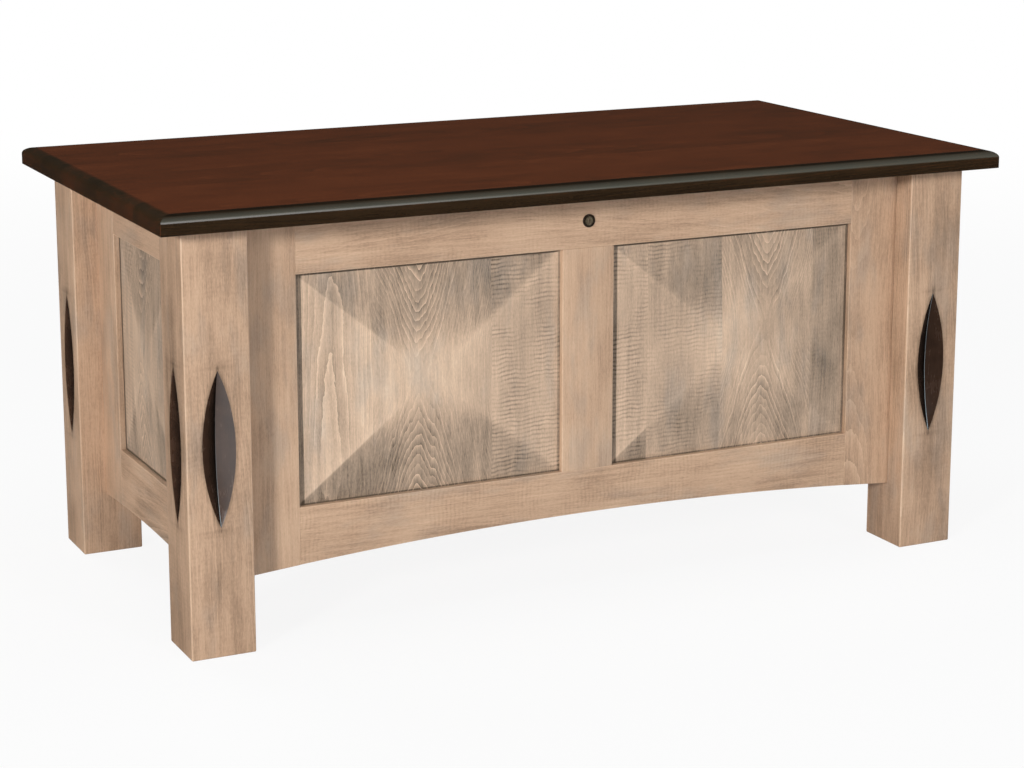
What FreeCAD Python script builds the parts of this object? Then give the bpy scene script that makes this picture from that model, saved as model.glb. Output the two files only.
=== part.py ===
"""Blanket chest: four square corner posts with framed walls, a floor of loose boards and a hinged lid.

The frame: +X runs along the chest's length, -Y is its front, +Z is up, in millimetres. The origin is
on the floor, midway between the posts. Every size is a cell of the sheet "sizes", and every
sub-part reads its sizes and its place from those cells.
"""
import os

import FreeCAD
import Part
import Sketcher
from FreeCAD import Rotation, Vector

os.makedirs("parts", exist_ok=True)
doc = FreeCAD.newDocument("blanket_chest")
sheet = doc.addObject("Spreadsheet::Sheet", "sizes")

SIZES = {
    # case
    "chest_width": 1027.0,        # over the posts, along X
    "chest_depth": 504.0,         # over the posts, along Y
    "post_height": 490.5,
    "post_side": 76.2,
    "post_ease": 1.5,             # rounding of the posts' long edges
    "frame_recess": 31.75,        # front and side frames sit this far behind the posts' faces
    "stock": 22.0,                # thickness of the rails and stiles
    "stile_wide": 67.4,
    "centre_stile_wide": 68.2,
    "rail_wide": 67.0,
    "opening_low": 152.0,         # lower edge of the panel openings
    "arch_middle": 97.3,          # underside of the front rail at its middle
    "arch_rise": 19.0,
    "side_arch_middle": 82.5,
    "side_arch_rise": 5.5,
    "back_rail_low": 85.0,
    # joinery
    "groove_near": 7.0,           # from a frame's outer face to its panel groove
    "groove_wide": 6.4,
    "groove_deep": 10.0,
    "tenon_long": 9.5,
    "post_groove_deep": 8.5,
    "post_tongue_long": 8.0,
    "panel_tongue": 8.5,
    "panel_edge": 6.3,            # thickness of a panel in its groove
    "panel_rise": 6.0,            # height of the shallow pyramid on a panel
    # lens-shaped gouges in the posts
    "gouge_long": 180.0,
    "gouge_wide": 39.0,
    "gouge_depth": 13.0,
    "gouge_centre": 241.0,
    "gouge_lead": 2.0,            # how far the cutter starts outside the post
    # lid
    "lid_over": 32.0,             # overhang past the posts on all four sides
    "lid_thick": 22.0,
    "lid_face": 13.2,             # upright part of the lid's edge
    "lid_round": 15.5,            # how far the rounded edge runs in over the top
    # floor
    "cleat_wide": 20.0,
    "cleat_tall": 18.0,
    "bearer_wide": 44.0,
    "floor_low": 122.0,           # underside of the floor boards
    "board_thick": 12.0,
    "board_tongue": 5.0,
    "board_tongue_thick": 4.0,
    "board_gap": 0.5,
    # butt hinges
    "hinge_spread": 330.0,
    "hinge_long": 63.0,
    "hinge_back": 4.0,            # hinge axis behind the posts' back faces
    "hinge_drop": 3.5,            # hinge axis below the lid
    "knuckle_radius": 3.2,
    "knuckle_gap": 0.3,
    "leaf_clear": 0.4,
    "hinge_pin_radius": 1.5,
    "leaf_thick": 2.0,
    "case_leaf_tall": 26.0,
    "lid_leaf_wide": 21.0,
    # wood screws
    "screw_head_radius": 3.3,
    "screw_head_deep": 1.8,
    "screw_shank_radius": 1.6,
    "screw_long": 14.0,
    "screw_pitch": 22.0,
    "screw_stagger": 4.0,         # a hinge leaf's middle screw against its outer two
    # lid stays, as distances from the hinge axis and from the side frame's inner face
    "stay_reach": 150.0,
    "stay_lid_drop": 8.5,
    "stay_case_drop": 22.0,
    "housing_thick": 10.0,
    "housing_plate": 3.0,
    "housing_radius": 13.0,
    "housing_half_long": 45.0,
    "stay_screw_place": 36.0,
    "lever_near": 10.5,
    "link_near": 15.0,
    "arm_thick": 3.0,
    "lever_half_wide": 8.0,
    "link_half_wide": 7.0,
    "case_pivot_radius": 4.0,
    "pivot_bore_near": 1.0,
    "pivot_pin_near": 1.2,
    "arm_stud_radius": 3.0,
    "pivot_head_radius": 6.2,
    "pivot_head_thick": 1.2,
    "stud_head_radius": 5.0,
    "stud_head_thick": 1.0,
    "stud_head_gap": 0.2,
    "bracket_near": 18.4,
    "bracket_thick": 3.0,
    "bracket_wide": 28.0,
    "bracket_half_long": 20.0,
    "bracket_screw_place": 12.0,
    # cylinder lock in the front top rail
    "lock_centre": 456.0,
    "lock_barrel_radius": 7.0,
    "lock_bezel_radius": 8.0,
    "lock_bezel_thick": 1.6,
    "lock_barrel_out": 6.0,       # barrel's end behind the rail
    "lock_nut_radius": 11.0,
    "lock_nut_thick": 4.0,
    "plug_radius": 5.0,
    "plug_sunk": 0.4,
    "plug_out": 0.5,
    "tang_side": 6.0,
    "key_slot_wide": 1.3,
    "key_slot_tall": 6.4,
    "key_slot_deep": 3.0,
    "cam_half_wide": 6.0,
    "cam_thick": 2.5,
    "cam_reach": 24.0,
    "strike_near": 8.0,           # strike's near and far ends along the rail
    "strike_far": 26.0,
    "strike_thick": 2.5,
    "strike_gap": 1.0,            # between the cam's back and the strike's leg
    "strike_low": 440.0,
    "strike_lip": 6.0,
    "strike_flange": 28.0,
    "strike_screw_aside": 5.0,
    "strike_screw_apart": 8.0,
    # clearances
    "fit_gap": 0.05,
    "cutter_past": 1.0,           # how far a cutter runs on past what it cuts
}
HANDS = (("left", -1), ("right", 1))
FLOOR_BOARDS = 4
KNUCKLES = 5

for row, (alias, size) in enumerate(SIZES.items(), start=1):
    sheet.set(f"A{row}", alias)
    sheet.set(f"B{row}", str(size))
    sheet.setAlias(f"B{row}", alias)
doc.recompute()

pieces = {}


def cell(alias):
    """The expression that reads one cell of the sheet."""
    return f"sizes.{alias}"


# Places that several sub-parts share, as expressions.
POST_OUT_X = f"{cell('chest_width')} / 2"
POST_OUT_Y = f"{cell('chest_depth')} / 2"
POST_IN_X = f"({POST_OUT_X} - {cell('post_side')})"
POST_IN_Y = f"({POST_OUT_Y} - {cell('post_side')})"
SIDE_OUT = f"({POST_OUT_X} - {cell('frame_recess')})"
SIDE_IN = f"({SIDE_OUT} - {cell('stock')})"
FRONT_OUT = f"({POST_OUT_Y} - {cell('frame_recess')})"
FRONT_IN = f"({FRONT_OUT} - {cell('stock')})"
BACK_IN = f"({POST_OUT_Y} - {cell('stock')})"
TOP = cell("post_height")
PAST = cell("cutter_past")
OPENING_HIGH = f"({TOP} - {cell('rail_wide')})"
OPENING_LOW = cell("opening_low")
GROOVE_FAR = f"({cell('groove_near')} + {cell('groove_wide')})"
HINGE_Y = f"({POST_OUT_Y} + {cell('hinge_back')})"
HINGE_Z = f"({TOP} - {cell('hinge_drop')})"

TURNS = {
    "+z": Rotation(),
    "-y": Rotation(Vector(1, 0, 0), 90),
    "+y": Rotation(Vector(1, 0, 0), -90),
    "+x": Rotation(Vector(0, 1, 0), 90),
    "-x": Rotation(Vector(0, 1, 0), -90),
}


# ---------------------------------------------------------------- building blocks

def bind(item, **expressions):
    """Tie properties of one object to expressions."""
    for prop, text in expressions.items():
        item.setExpression(prop, text)
    return item


def settle(item, point):
    """Tie an object's position to three expressions."""
    for axis, text in zip("xyz", point):
        item.setExpression(f"Placement.Base.{axis}", text)
    return item


def span(side, near, far):
    """The interval from near to far of the middle plane, on the side given by -1 or 1."""
    if side > 0:
        return near, far
    return f"-({far})", f"-({near})"


def block(name, across, deep, tall):
    """A box from its three intervals along X, Y and Z."""
    box = doc.addObject("Part::Box", name)
    bind(box, **{side: f"({high}) - ({low})"
                 for side, (low, high) in zip(("Length", "Width", "Height"), (across, deep, tall))})
    return settle(box, (across[0], deep[0], tall[0]))


def rod(name, radius, start, toward, length):
    """A cylinder that starts at a point and runs toward one of the axes."""
    cylinder = doc.addObject("Part::Cylinder", name)
    cylinder.Placement.Rotation = TURNS[toward]
    bind(cylinder, Radius=radius, Height=length)
    return settle(cylinder, start)


def fuse(name, shapes):
    """One solid out of several that meet."""
    joined = doc.addObject("Part::MultiFuse", name)
    joined.Shapes = shapes
    joined.Refine = True
    return joined


def cut(name, base, tools):
    """A base with one or more tools taken away."""
    tool = tools[0] if len(tools) == 1 else fuse(f"{name}_tools", tools)
    result = doc.addObject("Part::Cut", name)
    result.Base = base
    result.Tool = tool
    result.Refine = True
    return result


def group(name, solids):
    """Identical fasteners of one body, kept as separate solids."""
    together = doc.addObject("Part::Compound", name)
    together.Links = solids
    return together


def keep(label, item, solids=1):
    """Name a finished sub-part and say how many solids it has."""
    item.Label = label
    pieces[label] = (item, solids)
    return item


# ---------------------------------------------------------------- corner posts

def post_body(name, side_x, side_y):
    """A square post with eased long edges, as a padded sketch."""
    body = doc.addObject("PartDesign::Body", f"{name}_body")
    sketch = body.newObject("Sketcher::SketchObject", f"{name}_section")
    plane = next(item for item in body.Origin.OriginFeatures if item.Role == "XY_Plane")
    sketch.AttachmentSupport = [(plane, "")]
    sketch.MapMode = "FlatFace"
    half = SIZES["post_side"] / 2
    corners = [Vector(-half, -half), Vector(half, -half), Vector(half, half), Vector(-half, half)]
    for index in range(4):
        sketch.addGeometry(Part.LineSegment(corners[index], corners[(index + 1) % 4]))
    for index in range(4):
        sketch.addConstraint(Sketcher.Constraint("Coincident", index, 2, (index + 1) % 4, 1))
    for index, kind in enumerate(("Horizontal", "Vertical", "Horizontal", "Vertical")):
        sketch.addConstraint(Sketcher.Constraint(kind, index))
    sketch.addConstraint(Sketcher.Constraint("Symmetric", 0, 1, 2, 1, -1, 1))
    wide = sketch.addConstraint(Sketcher.Constraint("Distance", 0, 2 * half))
    deep = sketch.addConstraint(Sketcher.Constraint("Distance", 1, 2 * half))
    sketch.setExpression(f"Constraints[{wide}]", cell("post_side"))
    sketch.setExpression(f"Constraints[{deep}]", cell("post_side"))
    pad = body.newObject("PartDesign::Pad", f"{name}_length")
    pad.Profile = sketch
    bind(pad, Length=cell("post_height"))
    doc.recompute()
    ease = body.newObject("PartDesign::Fillet", f"{name}_ease")
    upright = [f"Edge{number}" for number, edge in enumerate(pad.Shape.Edges, start=1)
               if abs(edge.tangentAt(edge.FirstParameter).z) > 0.99]
    ease.Base = (pad, upright)
    bind(ease, Radius=cell("post_ease"))
    middle = [f"{side} * ({out} - {cell('post_side')} / 2)"
              for side, out in ((side_x, POST_OUT_X), (side_y, POST_OUT_Y))]
    settle(body, (middle[0], middle[1], "0"))
    return body


def gouge(name, axis, side, along):
    """A V-shaped lens: two discs, each pushed into the post on a slant, and what they share.

    The half width of the lens at height z is half_wide - radius + sqrt(radius^2 - z^2). Each
    wall leans in by half_wide per gouge_depth, so the valley is deepest where it is widest.
    """
    half_long = f"{cell('gouge_long')} / 2"
    half_wide = f"{cell('gouge_wide')} / 2"
    radius = f"(({half_long})^2 + ({half_wide})^2) / {cell('gouge_wide')}"
    lead_wide = f"{half_wide} * {cell('gouge_lead')} / {cell('gouge_depth')}"
    slope = f"({half_wide} / {cell('gouge_depth')})"
    face = POST_OUT_X if axis == "x" else POST_OUT_Y
    start = f"{side} * ({face} + {cell('gouge_lead')})"
    halves = []
    for bulge in (-1, 1):
        disc = doc.addObject("Part::Circle", f"{name}_disc")
        disc.Placement.Rotation = TURNS["+x"] if axis == "x" else TURNS["+y"]
        bind(disc, Radius=radius)
        shift = f"{bulge} * ({half_wide} + {lead_wide} - {radius})"
        centre = f"({along}) + {shift}"
        place = (start, centre) if axis == "x" else (centre, start)
        settle(disc, (*place, cell("gouge_centre")))
        push = doc.addObject("Part::Extrusion", f"{name}_push")
        push.Base = disc
        push.Solid = True
        push.DirMode = "Custom"
        lean = (f"{-side}", f"{-bulge} * {slope}") if axis == "x" else (f"{-bulge} * {slope}", f"{-side}")
        for way, text in zip("xyz", (*lean, "0")):
            push.setExpression(f"Dir.{way}", text)
        bind(push, LengthFwd=f"({cell('gouge_depth')} + 2 * {cell('gouge_lead')}) * hypot(1; {slope})")
        halves.append(push)
    lens = doc.addObject("Part::MultiCommon", f"{name}_lens")
    lens.Shapes = halves
    return lens


def corner_post(label, side_x, side_y):
    """A post with the grooves that hold its two frames and its lens-shaped gouges."""
    body = post_body(label, side_x, side_y)
    low_long = f"{cell('arch_middle')} - {cell('arch_rise')}" if side_y < 0 else cell("back_rail_low")
    low_side = f"{cell('side_arch_middle')} - {cell('side_arch_rise')}"
    out_y = FRONT_OUT if side_y < 0 else POST_OUT_Y
    deep = cell("post_groove_deep")
    tools = [
        block(f"{label}_long_groove", span(side_x, POST_IN_X, f"{POST_IN_X} + {deep}"),
              span(side_y, f"{out_y} - {GROOVE_FAR}", f"{out_y} - {cell('groove_near')}"),
              (low_long, f"{TOP} + {PAST}")),
        block(f"{label}_side_groove",
              span(side_x, f"{SIDE_OUT} - {GROOVE_FAR}", f"{SIDE_OUT} - {cell('groove_near')}"),
              span(side_y, POST_IN_Y, f"{POST_IN_Y} + {deep}"), (low_side, f"{TOP} + {PAST}")),
        gouge(f"{label}_side_gouge", "x", side_x, f"{side_y} * ({POST_OUT_Y} - {cell('post_side')} / 2)"),
    ]
    if side_y < 0:
        tools.append(gouge(f"{label}_front_gouge", "y", side_y,
                           f"{side_x} * ({POST_OUT_X} - {cell('post_side')} / 2)"))
    keep(label, cut(f"{label}_cut", body, tools))


for name_y, side_y in (("front", -1), ("rear", 1)):
    for name_x, side_x in HANDS:
        corner_post(f"{name_y}_{name_x}_post", side_x, side_y)


# ---------------------------------------------------------------- framed walls

class Wall:
    """One framed wall. Along it runs u, into it from its outer face runs depth, up runs z."""

    def __init__(self, name, axis, side, out, half_long, low, rise, middle):
        self.name, self.axis, self.side = name, axis, side
        self.out, self.half_long = out, half_long
        self.low = low                # underside at the posts
        self.rise, self.middle = rise, middle

    def block(self, name, along, depth, tall):
        """A box given in the wall's own directions."""
        through = span(self.side, f"{self.out} - ({depth[1]})", f"{self.out} - ({depth[0]})")
        across, deep = (along, through) if self.axis == "x" else (through, along)
        return block(f"{self.name}_{name}", across, deep, tall)

    def arch(self, name):
        """The round underside: a cylinder through both ends and the raised middle."""
        radius = f"(({self.half_long})^2 + ({self.rise})^2) / (2 * {self.rise})"
        start = f"{self.side} * ({self.out} + {PAST})"
        height = f"{self.middle} - {radius}"
        if self.axis == "x":
            point, toward = ("0", start, height), ("+y" if self.side < 0 else "-y")
        else:
            point, toward = (start, "0", height), ("+x" if self.side < 0 else "-x")
        return rod(f"{self.name}_{name}", radius, point, toward, f"{cell('stock')} + 2 * {PAST}")

    def label(self, piece):
        return f"{self.name}_{piece}"


def in_groove():
    """The depth interval of the panel groove and of the tongues that fill it."""
    return cell("groove_near"), GROOVE_FAR


def outer_stile(wall, label, end, screws=()):
    """An upright beside a post: a tongue enters the post, a groove takes the rails and the panel."""
    inner = f"{wall.half_long} - {cell('stile_wide')}"
    full = (wall.low, TOP)
    parts = [
        wall.block(f"{label}_bar", span(end, inner, wall.half_long), ("0", cell("stock")), full),
        wall.block(f"{label}_tongue",
                   span(end, f"{wall.half_long} - {PAST}", f"{wall.half_long} + {cell('post_tongue_long')}"),
                   in_groove(), full),
    ]
    tools = [wall.block(f"{label}_groove", span(end, f"{inner} - {PAST}", f"{inner} + {cell('groove_deep')}"),
                        in_groove(), (f"{wall.low} - {PAST}", f"{TOP} + {PAST}"))]
    if wall.rise:
        tools.append(wall.arch(f"{label}_arch"))
    name = wall.label(label)
    keep(name, cut(f"{name}_cut", fuse(f"{name}_solid", parts), [*tools, *screws]))


def rail(wall, label, high, screws=()):
    """A rail between the outer stiles, with stub tenons and a groove along the panels' edge."""
    inner = f"{wall.half_long} - {cell('stile_wide')}"
    tall = (OPENING_HIGH, TOP) if high else (wall.low, OPENING_LOW)
    reach = f"{inner} + {cell('tenon_long')}"
    parts = [
        wall.block(f"{label}_bar", (f"-({inner})", inner), ("0", cell("stock")), tall),
        wall.block(f"{label}_tenons", (f"-({reach})", reach), in_groove(), tall),
    ]
    if high:
        groove = (f"{OPENING_HIGH} - {PAST}", f"{OPENING_HIGH} + {cell('groove_deep')}")
    else:
        groove = (f"{OPENING_LOW} - {cell('groove_deep')}", f"{OPENING_LOW} + {PAST}")
    tools = [wall.block(f"{label}_groove", (f"-({reach}) - {PAST}", f"{reach} + {PAST}"),
                        in_groove(), groove)]
    if wall.rise and not high:
        tools.append(wall.arch(f"{label}_arch"))
    name = wall.label(label)
    keep(name, cut(f"{name}_cut", fuse(f"{name}_solid", parts), [*tools, *screws]))


def centre_stile(wall):
    """The upright between two panels, tenoned into both rails and grooved on both edges."""
    half = f"{cell('centre_stile_wide')} / 2"
    long = cell("tenon_long")
    name = wall.label("centre_stile")
    parts = [
        wall.block("centre_bar", (f"-{half}", half), ("0", cell("stock")), (OPENING_LOW, OPENING_HIGH)),
        wall.block("centre_tenons", (f"-{half}", half), in_groove(),
                   (f"{OPENING_LOW} - {long}", f"{OPENING_HIGH} + {long}")),
    ]
    tools = [wall.block(f"centre_groove_{end + 1}",
                        span(end, f"{half} - {cell('groove_deep')}", f"{half} + {PAST}"), in_groove(),
                        (f"{OPENING_LOW} - {long} - {PAST}", f"{OPENING_HIGH} + {long} + {PAST}"))
             for end in (-1, 1)]
    keep(name, cut(f"{name}_cut", fuse(f"{name}_solid", parts), tools))


def pyramid(wall, name, low, high):
    """The four shallow facets on a panel's outer face, as a wedge that closes to a point."""
    wedge = doc.addObject("Part::Wedge", f"{wall.name}_{name}")
    wedge.Placement.Rotation = {
        ("x", -1): Rotation(Vector(0, 0, 1), 180),
        ("x", 1): Rotation(),
        ("y", -1): Rotation(Vector(0, 0, 1), 90),
        ("y", 1): Rotation(Vector(0, 0, 1), -90),
    }[wall.axis, wall.side]
    half_long = f"(({high}) - ({low})) / 2"
    half_tall = f"({OPENING_HIGH} - {OPENING_LOW}) / 2"
    bind(wedge, Xmin=f"-({half_long})", Xmax=half_long, Zmin=f"-({half_tall})", Zmax=half_tall,
         Ymax=cell("panel_rise"))
    wedge.Ymin = wedge.X2min = wedge.X2max = wedge.Z2min = wedge.Z2max = 0
    face = f"{wall.side} * ({wall.out} - {cell('groove_near')})"
    middle = f"(({low}) + ({high})) / 2"
    place = (middle, face) if wall.axis == "x" else (face, middle)
    return settle(wedge, (*place, f"({OPENING_HIGH} + {OPENING_LOW}) / 2"))


def panel(wall, label, low, high, raised=True):
    """A panel whose thin edges float in the grooves; its face may rise to a shallow pyramid."""
    tongue = cell("panel_tongue")
    name = wall.label(label)
    sheet_part = wall.block(f"{label}_board", (f"{low} - {tongue}", f"{high} + {tongue}"),
                            (cell("groove_near"), f"{cell('groove_near')} + {cell('panel_edge')}"),
                            (f"{OPENING_LOW} - {tongue}", f"{OPENING_HIGH} + {tongue}"))
    if not raised:
        return keep(name, sheet_part)
    return keep(name, fuse(f"{name}_solid", [sheet_part, pyramid(wall, f"{label}_facets", low, high)]))


front = Wall("front", "x", -1, FRONT_OUT, POST_IN_X, f"({cell('arch_middle')} - {cell('arch_rise')})",
             cell("arch_rise"), cell("arch_middle"))
back = Wall("back", "x", 1, POST_OUT_Y, POST_IN_X, cell("back_rail_low"), None, None)
sides = [Wall(name, "y", side, SIDE_OUT, POST_IN_Y,
              f"({cell('side_arch_middle')} - {cell('side_arch_rise')})",
              cell("side_arch_rise"), cell("side_arch_middle"))
         for name, side in HANDS]


# ---------------------------------------------------------------- screws and their pilot holes

def screw(name, point, toward, loose=""):
    """A countersunk wood screw, or with loose the slightly larger hole that it sits in."""
    shank = rod(f"{name}_shank", f"{cell('screw_shank_radius')}{loose}", point, toward,
                f"{cell('screw_long')}{loose}")
    head = doc.addObject("Part::Cone", f"{name}_head")
    head.Placement.Rotation = TURNS[toward]
    bind(head, Radius1=f"{cell('screw_head_radius')}{loose}",
         Radius2=f"{cell('screw_shank_radius')}{loose}", Height=cell("screw_head_deep"))
    settle(head, point)
    return fuse(name, [shank, head])


def screw_and_hole(name, point, toward):
    """One screw and the hole that it needs in the metal and the wood."""
    return screw(name, point, toward), screw(f"{name}_hole", point, toward, f" + {cell('fit_gap')}")


def stagger(step):
    """How far one of a leaf's three screws lies off the line through its middle."""
    return f"({abs(step)} - 1 / 2) * {cell('screw_stagger')}"


hinge_places = {"left": f"-{cell('hinge_spread')}", "centre": "0", "right": cell("hinge_spread")}
case_hinge_screws, lid_hinge_screws = {}, {}
for place, middle in hinge_places.items():
    case_hinge_screws[place] = [
        screw_and_hole(f"{place}_case_screw_{step + 1}",
                       (f"{middle} + {step} * {cell('screw_pitch')}",
                        f"{POST_OUT_Y} + {cell('leaf_thick')}",
                        f"{HINGE_Z} - {cell('knuckle_radius')} - {cell('case_leaf_tall')} / 2 "
                        f"+ {stagger(step)}"), "-y")
        for step in (-1, 0, 1)]
    lid_hinge_screws[place] = [
        screw_and_hole(f"{place}_lid_screw_{step + 1}",
                       (f"{middle} + {step} * {cell('screw_pitch')}",
                        f"{HINGE_Y} + {cell('knuckle_radius')} + {cell('lid_leaf_wide')} / 2 "
                        f"+ {stagger(step)}",
                        f"{TOP} - {cell('leaf_thick')}"), "+z")
        for step in (-1, 0, 1)]

STAY_LID_Y = f"({HINGE_Y} - {cell('stay_reach')})"
STAY_LID_Z = f"({HINGE_Z} - {cell('stay_lid_drop')})"
STAY_CASE_Y = STAY_LID_Y
STAY_CASE_Z = f"({HINGE_Z} - {cell('stay_case_drop')})"
STAY_JOINT_Y = f"({STAY_LID_Y} - {cell('stay_reach')})"
STAY_JOINT_Z = f"({STAY_LID_Z} - {cell('stay_case_drop')})"


def from_wall(side, near, far):
    """An interval of distances from one side wall's inner face into the chest."""
    return span(side, f"{SIDE_IN} - ({far})", f"{SIDE_IN} - ({near})")


stay_case_screws, stay_lid_screws = {}, {}
for name, side in HANDS:
    outward = "-x" if side < 0 else "+x"
    stay_case_screws[name] = [
        screw_and_hole(f"{name}_stay_screw_{end + 1}",
                       (f"{side} * ({SIDE_IN} - {cell('housing_plate')})",
                        f"{STAY_CASE_Y} + {end} * {cell('stay_screw_place')}", STAY_CASE_Z), outward)
        for end in (-1, 1)]
    stay_lid_screws[name] = [
        screw_and_hole(f"{name}_bracket_screw_{end + 1}",
                       (f"{side} * ({SIDE_IN} - {cell('bracket_near')} - {cell('bracket_wide')} / 2)",
                        f"{STAY_LID_Y} + {end} * {cell('bracket_screw_place')}",
                        f"{TOP} - {cell('bracket_thick')}"), "+z")
        for end in (-1, 1)]

CAM_FRONT = f"(-{FRONT_IN} + {cell('lock_barrel_out')} + {cell('plug_out')})"
CAM_BACK = f"({CAM_FRONT} + {cell('cam_thick')})"
STRIKE_LEG = f"({CAM_BACK} + {cell('strike_gap')})"
strike_screws = [
    screw_and_hole(f"strike_screw_{end + 1}",
                   (f"({cell('strike_near')} + {cell('strike_far')}) / 2 "
                    f"+ {end} * {cell('strike_screw_aside')}",
                    f"{STRIKE_LEG} + {cell('strike_flange')} / 2 "
                    f"+ ({end} + 1) / 2 * {cell('strike_screw_apart')}",
                    f"{TOP} - {cell('strike_thick')}"), "+z")
    for end in (-1, 1)]

case_screws = [item for place in case_hinge_screws.values() for item in place]
case_screws += [item for place in stay_case_screws.values() for item in place]
lid_screws = [item for place in lid_hinge_screws.values() for item in place]
lid_screws += [item for place in stay_lid_screws.values() for item in place] + strike_screws
keep("case_screws", group("case_screws", [item[0] for item in case_screws]), len(case_screws))
keep("lid_screws", group("lid_screws", [item[0] for item in lid_screws]), len(lid_screws))

lock_hole = rod("lock_hole", f"{cell('lock_barrel_radius')} + {cell('fit_gap')}",
                ("0", f"-{FRONT_OUT} - {PAST}", cell("lock_centre")), "+y", f"{cell('stock')} + 2 * {PAST}")
back_holes = [item[1] for place in case_hinge_screws.values() for item in place]

for end_name, end in HANDS:
    outer_stile(front, f"{end_name}_stile", end)
    outer_stile(back, f"{end_name}_stile", end)
rail(front, "top_rail", True, [lock_hole])
rail(back, "top_rail", True, back_holes)
for wall in (front, back):
    rail(wall, "bottom_rail", False)
    centre_stile(wall)
    half_stile = f"{cell('centre_stile_wide')} / 2"
    edge = f"({wall.half_long} - {cell('stile_wide')})"
    panel(wall, "left_panel", f"-{edge}", f"-{half_stile}", raised=wall is front)
    panel(wall, "right_panel", half_stile, edge, raised=wall is front)
for wall in sides:
    front_screw, rear_screw = [item[1] for item in stay_case_screws[wall.name]]
    outer_stile(wall, "front_stile", -1)
    outer_stile(wall, "rear_stile", 1, [rear_screw])
    rail(wall, "top_rail", True, [front_screw])
    rail(wall, "bottom_rail", False)
    edge = f"({wall.half_long} - {cell('stile_wide')})"
    panel(wall, "panel", f"-{edge}", edge)


# ---------------------------------------------------------------- lid

def edge_cutter(name, axis, side):
    """What a thumbnail router bit takes off one top edge: a corner block less an elliptic rod."""
    half = {"x": f"({POST_OUT_Y} + {cell('lid_over')})", "y": f"({POST_OUT_X} + {cell('lid_over')})"}
    run = {"x": half["y"], "y": half["x"]}[axis]
    inner = f"{half[axis]} - {cell('lid_round')}"
    rise = (f"{TOP} + {cell('lid_face')}", f"{TOP} + {cell('lid_thick')} + {PAST}")
    through, along = span(side, inner, f"{half[axis]} + {PAST}"), (f"-{run} - {PAST}", f"{run} + {PAST}")
    corner = block(f"{name}_corner", *((along, through) if axis == "x" else (through, along)), rise)
    ellipse = doc.addObject("Part::Ellipse", f"{name}_ellipse")
    bind(ellipse, MajorRadius=cell("lid_round"), MinorRadius=f"{cell('lid_thick')} - {cell('lid_face')}")
    flat = f"{side} * ({inner})"
    if axis == "x":
        # major axis along Y, minor axis along Z
        ellipse.Placement.Rotation = Rotation(Vector(0, 1, 0), Vector(0, 0, 1), Vector(1, 0, 0))
        settle(ellipse, (f"-{run} - 2 * {PAST}", flat, rise[0]))
    else:
        ellipse.Placement.Rotation = Rotation(Vector(1, 0, 0), Vector(0, 0, 1), Vector(0, -1, 0))
        settle(ellipse, (flat, f"{run} + 2 * {PAST}", rise[0]))
    sweep = doc.addObject("Part::Extrusion", f"{name}_sweep")
    sweep.Base = ellipse
    sweep.Solid = True
    sweep.DirMode = "Custom"
    sweep.Dir = Vector(1, 0, 0) if axis == "x" else Vector(0, -1, 0)
    bind(sweep, LengthFwd=f"2 * {run} + 4 * {PAST}")
    return cut(name, corner, [sweep])


def lid():
    """One wide board that overhangs the case on all sides, with a rounded upper edge."""
    half_x = f"({POST_OUT_X} + {cell('lid_over')})"
    half_y = f"({POST_OUT_Y} + {cell('lid_over')})"
    board = block("lid_board", (f"-{half_x}", half_x), (f"-{half_y}", half_y),
                  (TOP, f"{TOP} + {cell('lid_thick')}"))
    tools = [edge_cutter(f"lid_{axis}_edge_{side + 1}", axis, side) for axis in "xy" for side in (-1, 1)]
    shaped = cut("lid_shaped", board, tools)
    keep("lid", cut("lid_drilled", shaped, [item[1] for item in lid_screws]))


lid()


# ---------------------------------------------------------------- floor

def floor():
    """Four tongued boards that lie on two side cleats and a middle bearer, between the posts."""
    low = cell("floor_low")
    high = f"{low} + {cell('board_thick')}"
    under = (f"{low} - {cell('cleat_tall')}", low)
    for name, side in HANDS:
        keep(f"{name}_floor_cleat",
             block(f"{name}_floor_cleat", span(side, f"{SIDE_IN} - {cell('cleat_wide')}", SIDE_IN),
                   (f"-{POST_IN_Y}", POST_IN_Y), under))
    half = f"{cell('bearer_wide')} / 2"
    keep("floor_bearer", block("floor_bearer", (f"-{half}", half), (f"-{FRONT_IN}", BACK_IN), under))
    wide = f"(({BACK_IN} + {FRONT_IN}) / {FLOOR_BOARDS})"
    gap = cell("board_gap")
    middle = f"({low} + {cell('board_thick')} / 2)"
    thick = cell("board_tongue_thick")
    for number in range(FLOOR_BOARDS):
        name = f"floor_board_{number + 1}"
        start = f"-{FRONT_IN} + {number} * {wide} + {gap}"
        stop = f"-{FRONT_IN} + {number + 1} * {wide} - {gap}"
        across = (f"-{SIDE_IN} + {gap}", f"{SIDE_IN} - {gap}")
        board = block(f"{name}_plank", across, (start, stop), (low, high))
        tools = []
        if number < FLOOR_BOARDS - 1:
            tongue = block(f"{name}_tongue", across, (f"{stop} - {PAST}", f"{stop} + {cell('board_tongue')}"),
                           (f"{middle} - {thick} / 2", f"{middle} + {thick} / 2"))
            board = fuse(f"{name}_joined", [board, tongue])
        if number > 0:
            loose = f"({thick} / 2 + {cell('fit_gap')})"
            tools.append(block(f"{name}_groove", (f"-{SIDE_IN}", SIDE_IN),
                               (f"{start} - {PAST}", f"{start} + {cell('board_tongue')}"),
                               (f"{middle} - {loose}", f"{middle} + {loose}")))
        side_y = {0: -1, FLOOR_BOARDS - 1: 1}.get(number)
        if side_y:
            tools += [block(f"{name}_notch_{side_x + 1}", span(side_x, f"{POST_IN_X} - {gap}", SIDE_OUT),
                            span(side_y, f"{POST_IN_Y} - {gap}", POST_OUT_Y),
                            (f"{low} - {PAST}", f"{high} + {PAST}"))
                      for side_x in (-1, 1)]
        keep(name, cut(f"{name}_cut", board, tools) if tools else board)


floor()


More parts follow.
